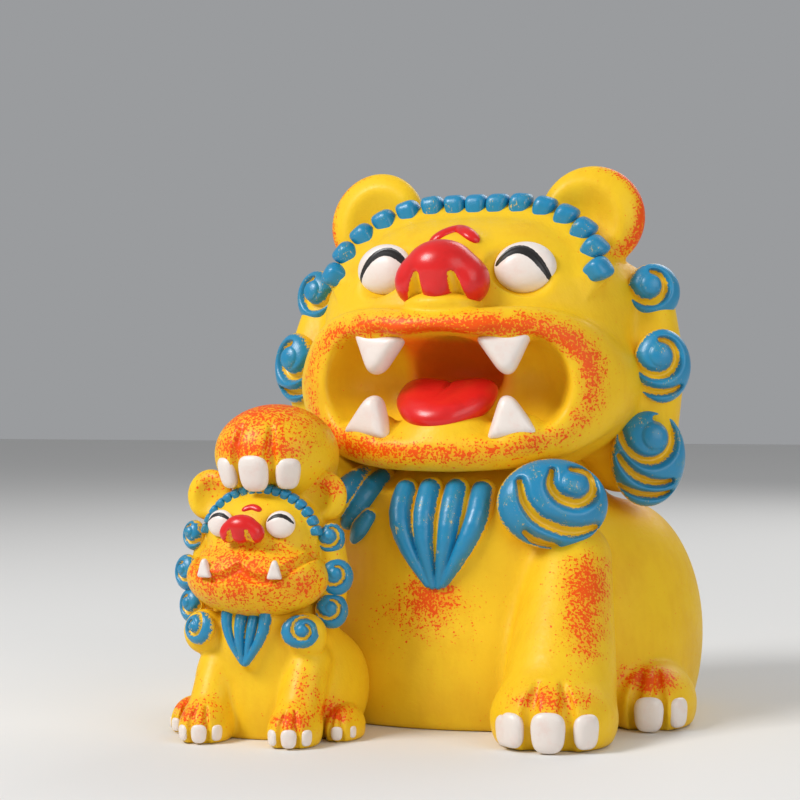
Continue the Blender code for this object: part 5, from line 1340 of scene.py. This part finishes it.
class LION_OT_locks(bpy.types.Operator):
    """Pointed lock on the lion's chest, leaf-like lock on its shoulder, and the tail's tuft"""

    bl_idname = "lion.locks"
    bl_label = "Chest lock, shoulder lock and tail"

    def execute(self, context):
        ribs_piece("lion_chest_lock", "chest_lock", body_field, mirrored(*CHEST_RIBS), -1, CHEST_BED)
        ribs_piece("lion_shoulder_lock", "shoulder_lock", body_field, SHOULDER_RIBS, -1, SHOULDER_BED,
                   start=30.0)
        ribs_piece("lion_tail", "tail", body_field, TAIL_RIBS, 1, TAIL_BED)
        return {"FINISHED"}


class LION_OT_claws(bpy.types.Operator):
    """Claws of the lion and of its cub"""

    bl_idname = "lion.claws"
    bl_label = "Claws"

    def execute(self, context):
        claw_group("left_paw_claw", body_field, STANDING_PAW)
        claw_group("right_paw_claw", body_field, RAISED_PAW)
        for side, word in SIDES:
            claw_group(word + "_foot_claw", body_field, hind_foot(side))
            claw_group(f"cub_{word}_paw_claw", cub_body_field, cub_paw(side), False)
            claw_group(f"cub_{word}_foot_claw", cub_body_field, cub_foot(side), False)
        return {"FINISHED"}


class LION_OT_cub(bpy.types.Operator):
    """The cub's body and head, two blended fields"""

    bl_idname = "lion.cub"
    bl_label = "Cub's body and head"

    def execute(self, context):
        grain = sizes().cub_grain
        yellow_piece("cub_lower", cub_body_field, CUB_BODY_BOX, grain, ("cub_body",), cub_body_spray)
        nodes = ("cub_head", "cub_ear_left", "cub_ear_right")
        yellow_piece("cub_upper", cub_head_field, CUB_HEAD_BOX, grain, nodes, cub_head_spray)
        return {"FINISHED"}


class LION_OT_cub_face(bpy.types.Operator):
    """Eyes, nose, mark, fangs and brow row of the cub"""

    bl_idname = "lion.cub_face"
    bl_label = "Cub's face"

    def execute(self, context):
        for side, word in reversed(SIDES):
            eye_piece("cub_eyeball_" + word, "cub_eye_" + word, cub_eye_place(side), CUB_EYE, side)
            fang_piece("cub_tooth_" + word, "cub_fang_" + word, (0, 0.2, 1.2), CUB_FANG, CUB_FANG_THICK,
                       side)
        nose_piece("cub_snout", "cub_nose", *CUB_NOSE)
        mark_piece("cub_mark", "cub_brow_mark", cub_head_plain, *CUB_MARK)
        bead_row("cub_brow_curls", "cub_brow_row", cub_head_plain, CUB_BROW_CENTRE, 0.0,
                 sizes().cub_brow_beads, CUB_BROW_END, CUB_BEAD, 0.6)
        return {"FINISHED"}


class LION_OT_cub_mane(bpy.types.Operator):
    """Curls and locks of the cub"""

    bl_idname = "lion.cub_mane"
    bl_label = "Cub's mane"

    def execute(self, context):
        for side, word in SIDES:
            for index, radius in enumerate(CUB_CURL_RADII):
                place = (side * CUB_CURL_OUTS[index] - 1.2, CUB_CURL_BACKS[index], CUB_CURL_HEIGHTS[index])
                curl = CUB_CURL._replace(half=tuple(radius * share for share in CUB_CURL.half))
                curl_piece(f"cub_curl_{word}_{index + 1}", "cub_mane_" + word, CUB_MOUTH + place,
                           (side * 0.5, -0.86, 0), curl, side)
            place = cub_pad_place(side) + (0, -1.6, 0)
            curl_piece("cub_chest_spiral_" + word, "cub_chest_curl_" + word, place, (side * 0.4, -0.9, 0.15),
                       CUB_SPIRAL, side)
        ribs_piece("cub_lock", "cub_chest_lock", cub_body_field, mirrored(*CUB_RIBS), -1, CUB_BED)
        return {"FINISHED"}


class LION_OT_stage(bpy.types.Operator):
    """Pale floor, soft studio lamps and the camera"""

    bl_idname = "lion.stage"
    bl_label = "Floor, lamps and camera"

    def execute(self, context):
        scene = context.scene
        scene.view_settings.view_transform = "Standard"
        mesh = bpy.data.meshes.new("floor")
        corners = [(x * FLOOR_REACH, y * FLOOR_REACH, 0) for x, y in ((-1, -1), (1, -1), (1, 1), (-1, 1))]
        mesh.from_pydata(corners, [], [(0, 1, 2, 3)])
        floor = bpy.data.objects.new("floor", mesh)
        scene.collection.objects.link(floor)
        paint = PaintNodes("floor", 0.8)
        paint.feed(paint.shader.inputs["Base Color"], FLOOR_COLOUR)
        mesh.materials.append(paint.material)
        world = bpy.data.worlds.new("studio")
        world.use_nodes = True
        sky = world.node_tree.nodes["Background"]
        sky.inputs["Color"].default_value = SKY_COLOUR
        sky.inputs["Strength"].default_value = SKY_STRENGTH
        scene.world = world
        for name, place, size, power in LAMPS:
            light = bpy.data.lights.new(name, "AREA")
            light.size = size
            light.energy = power
            lamp = bpy.data.objects.new(name, light)
            lamp.location = place
            way = np.array(LAMP_AIM) - place
            lamp.rotation_euler = Vector(way).to_track_quat("-Z", "Y").to_euler()
            scene.collection.objects.link(lamp)
        camera = bpy.data.cameras.new("camera")
        camera.lens = LENS
        camera.sensor_width = SENSOR
        camera.shift_x = CAMERA_SHIFT
        view = bpy.data.objects.new("camera", camera)
        view.location = (CAMERA_DISTANCE * np.sin(CAMERA_TURN), -CAMERA_DISTANCE * np.cos(CAMERA_TURN),
                         CAMERA_HEIGHT)
        view.rotation_euler = (np.pi / 2, 0, CAMERA_TURN)
        scene.collection.objects.link(view)
        scene.camera = view
        return {"FINISHED"}


class LION_PT_panel(bpy.types.Panel):
    """Lists the pieces of the lion"""

    bl_idname = "LION_PT_panel"
    bl_label = "Painted guardian lion"
    bl_space_type = "VIEW_3D"
    bl_region_type = "UI"
    bl_category = "Lion"

    def draw(self, context):
        for operator in OPERATORS:
            self.layout.operator(operator.bl_idname)
        for group in (context.scene.lion_sizes, context.scene.lion_colours):
            for key in group.bl_rna.properties.keys():
                if key not in ("rna_type", "name"):
                    self.layout.prop(group, key)


OPERATORS = (
    LION_OT_stage, LION_OT_body, LION_OT_head, LION_OT_face, LION_OT_mouth, LION_OT_brow, LION_OT_mane,
    LION_OT_locks, LION_OT_claws, LION_OT_cub, LION_OT_cub_face, LION_OT_cub_mane)
CLASSES = (LionColours, LionSizes, *OPERATORS, LION_PT_panel)


def register():
    for item in CLASSES:
        bpy.utils.register_class(item)
    bpy.types.Scene.lion_colours = PointerProperty(type=LionColours)
    bpy.types.Scene.lion_sizes = PointerProperty(type=LionSizes)


def unregister():
    del bpy.types.Scene.lion_sizes
    del bpy.types.Scene.lion_colours
    for item in reversed(CLASSES):
        bpy.utils.unregister_class(item)


def main():
    register()
    for operator in OPERATORS:
        group, name = operator.bl_idname.split(".")
        getattr(getattr(bpy.ops, group), name)()


if __name__ == "__main__":
    main()
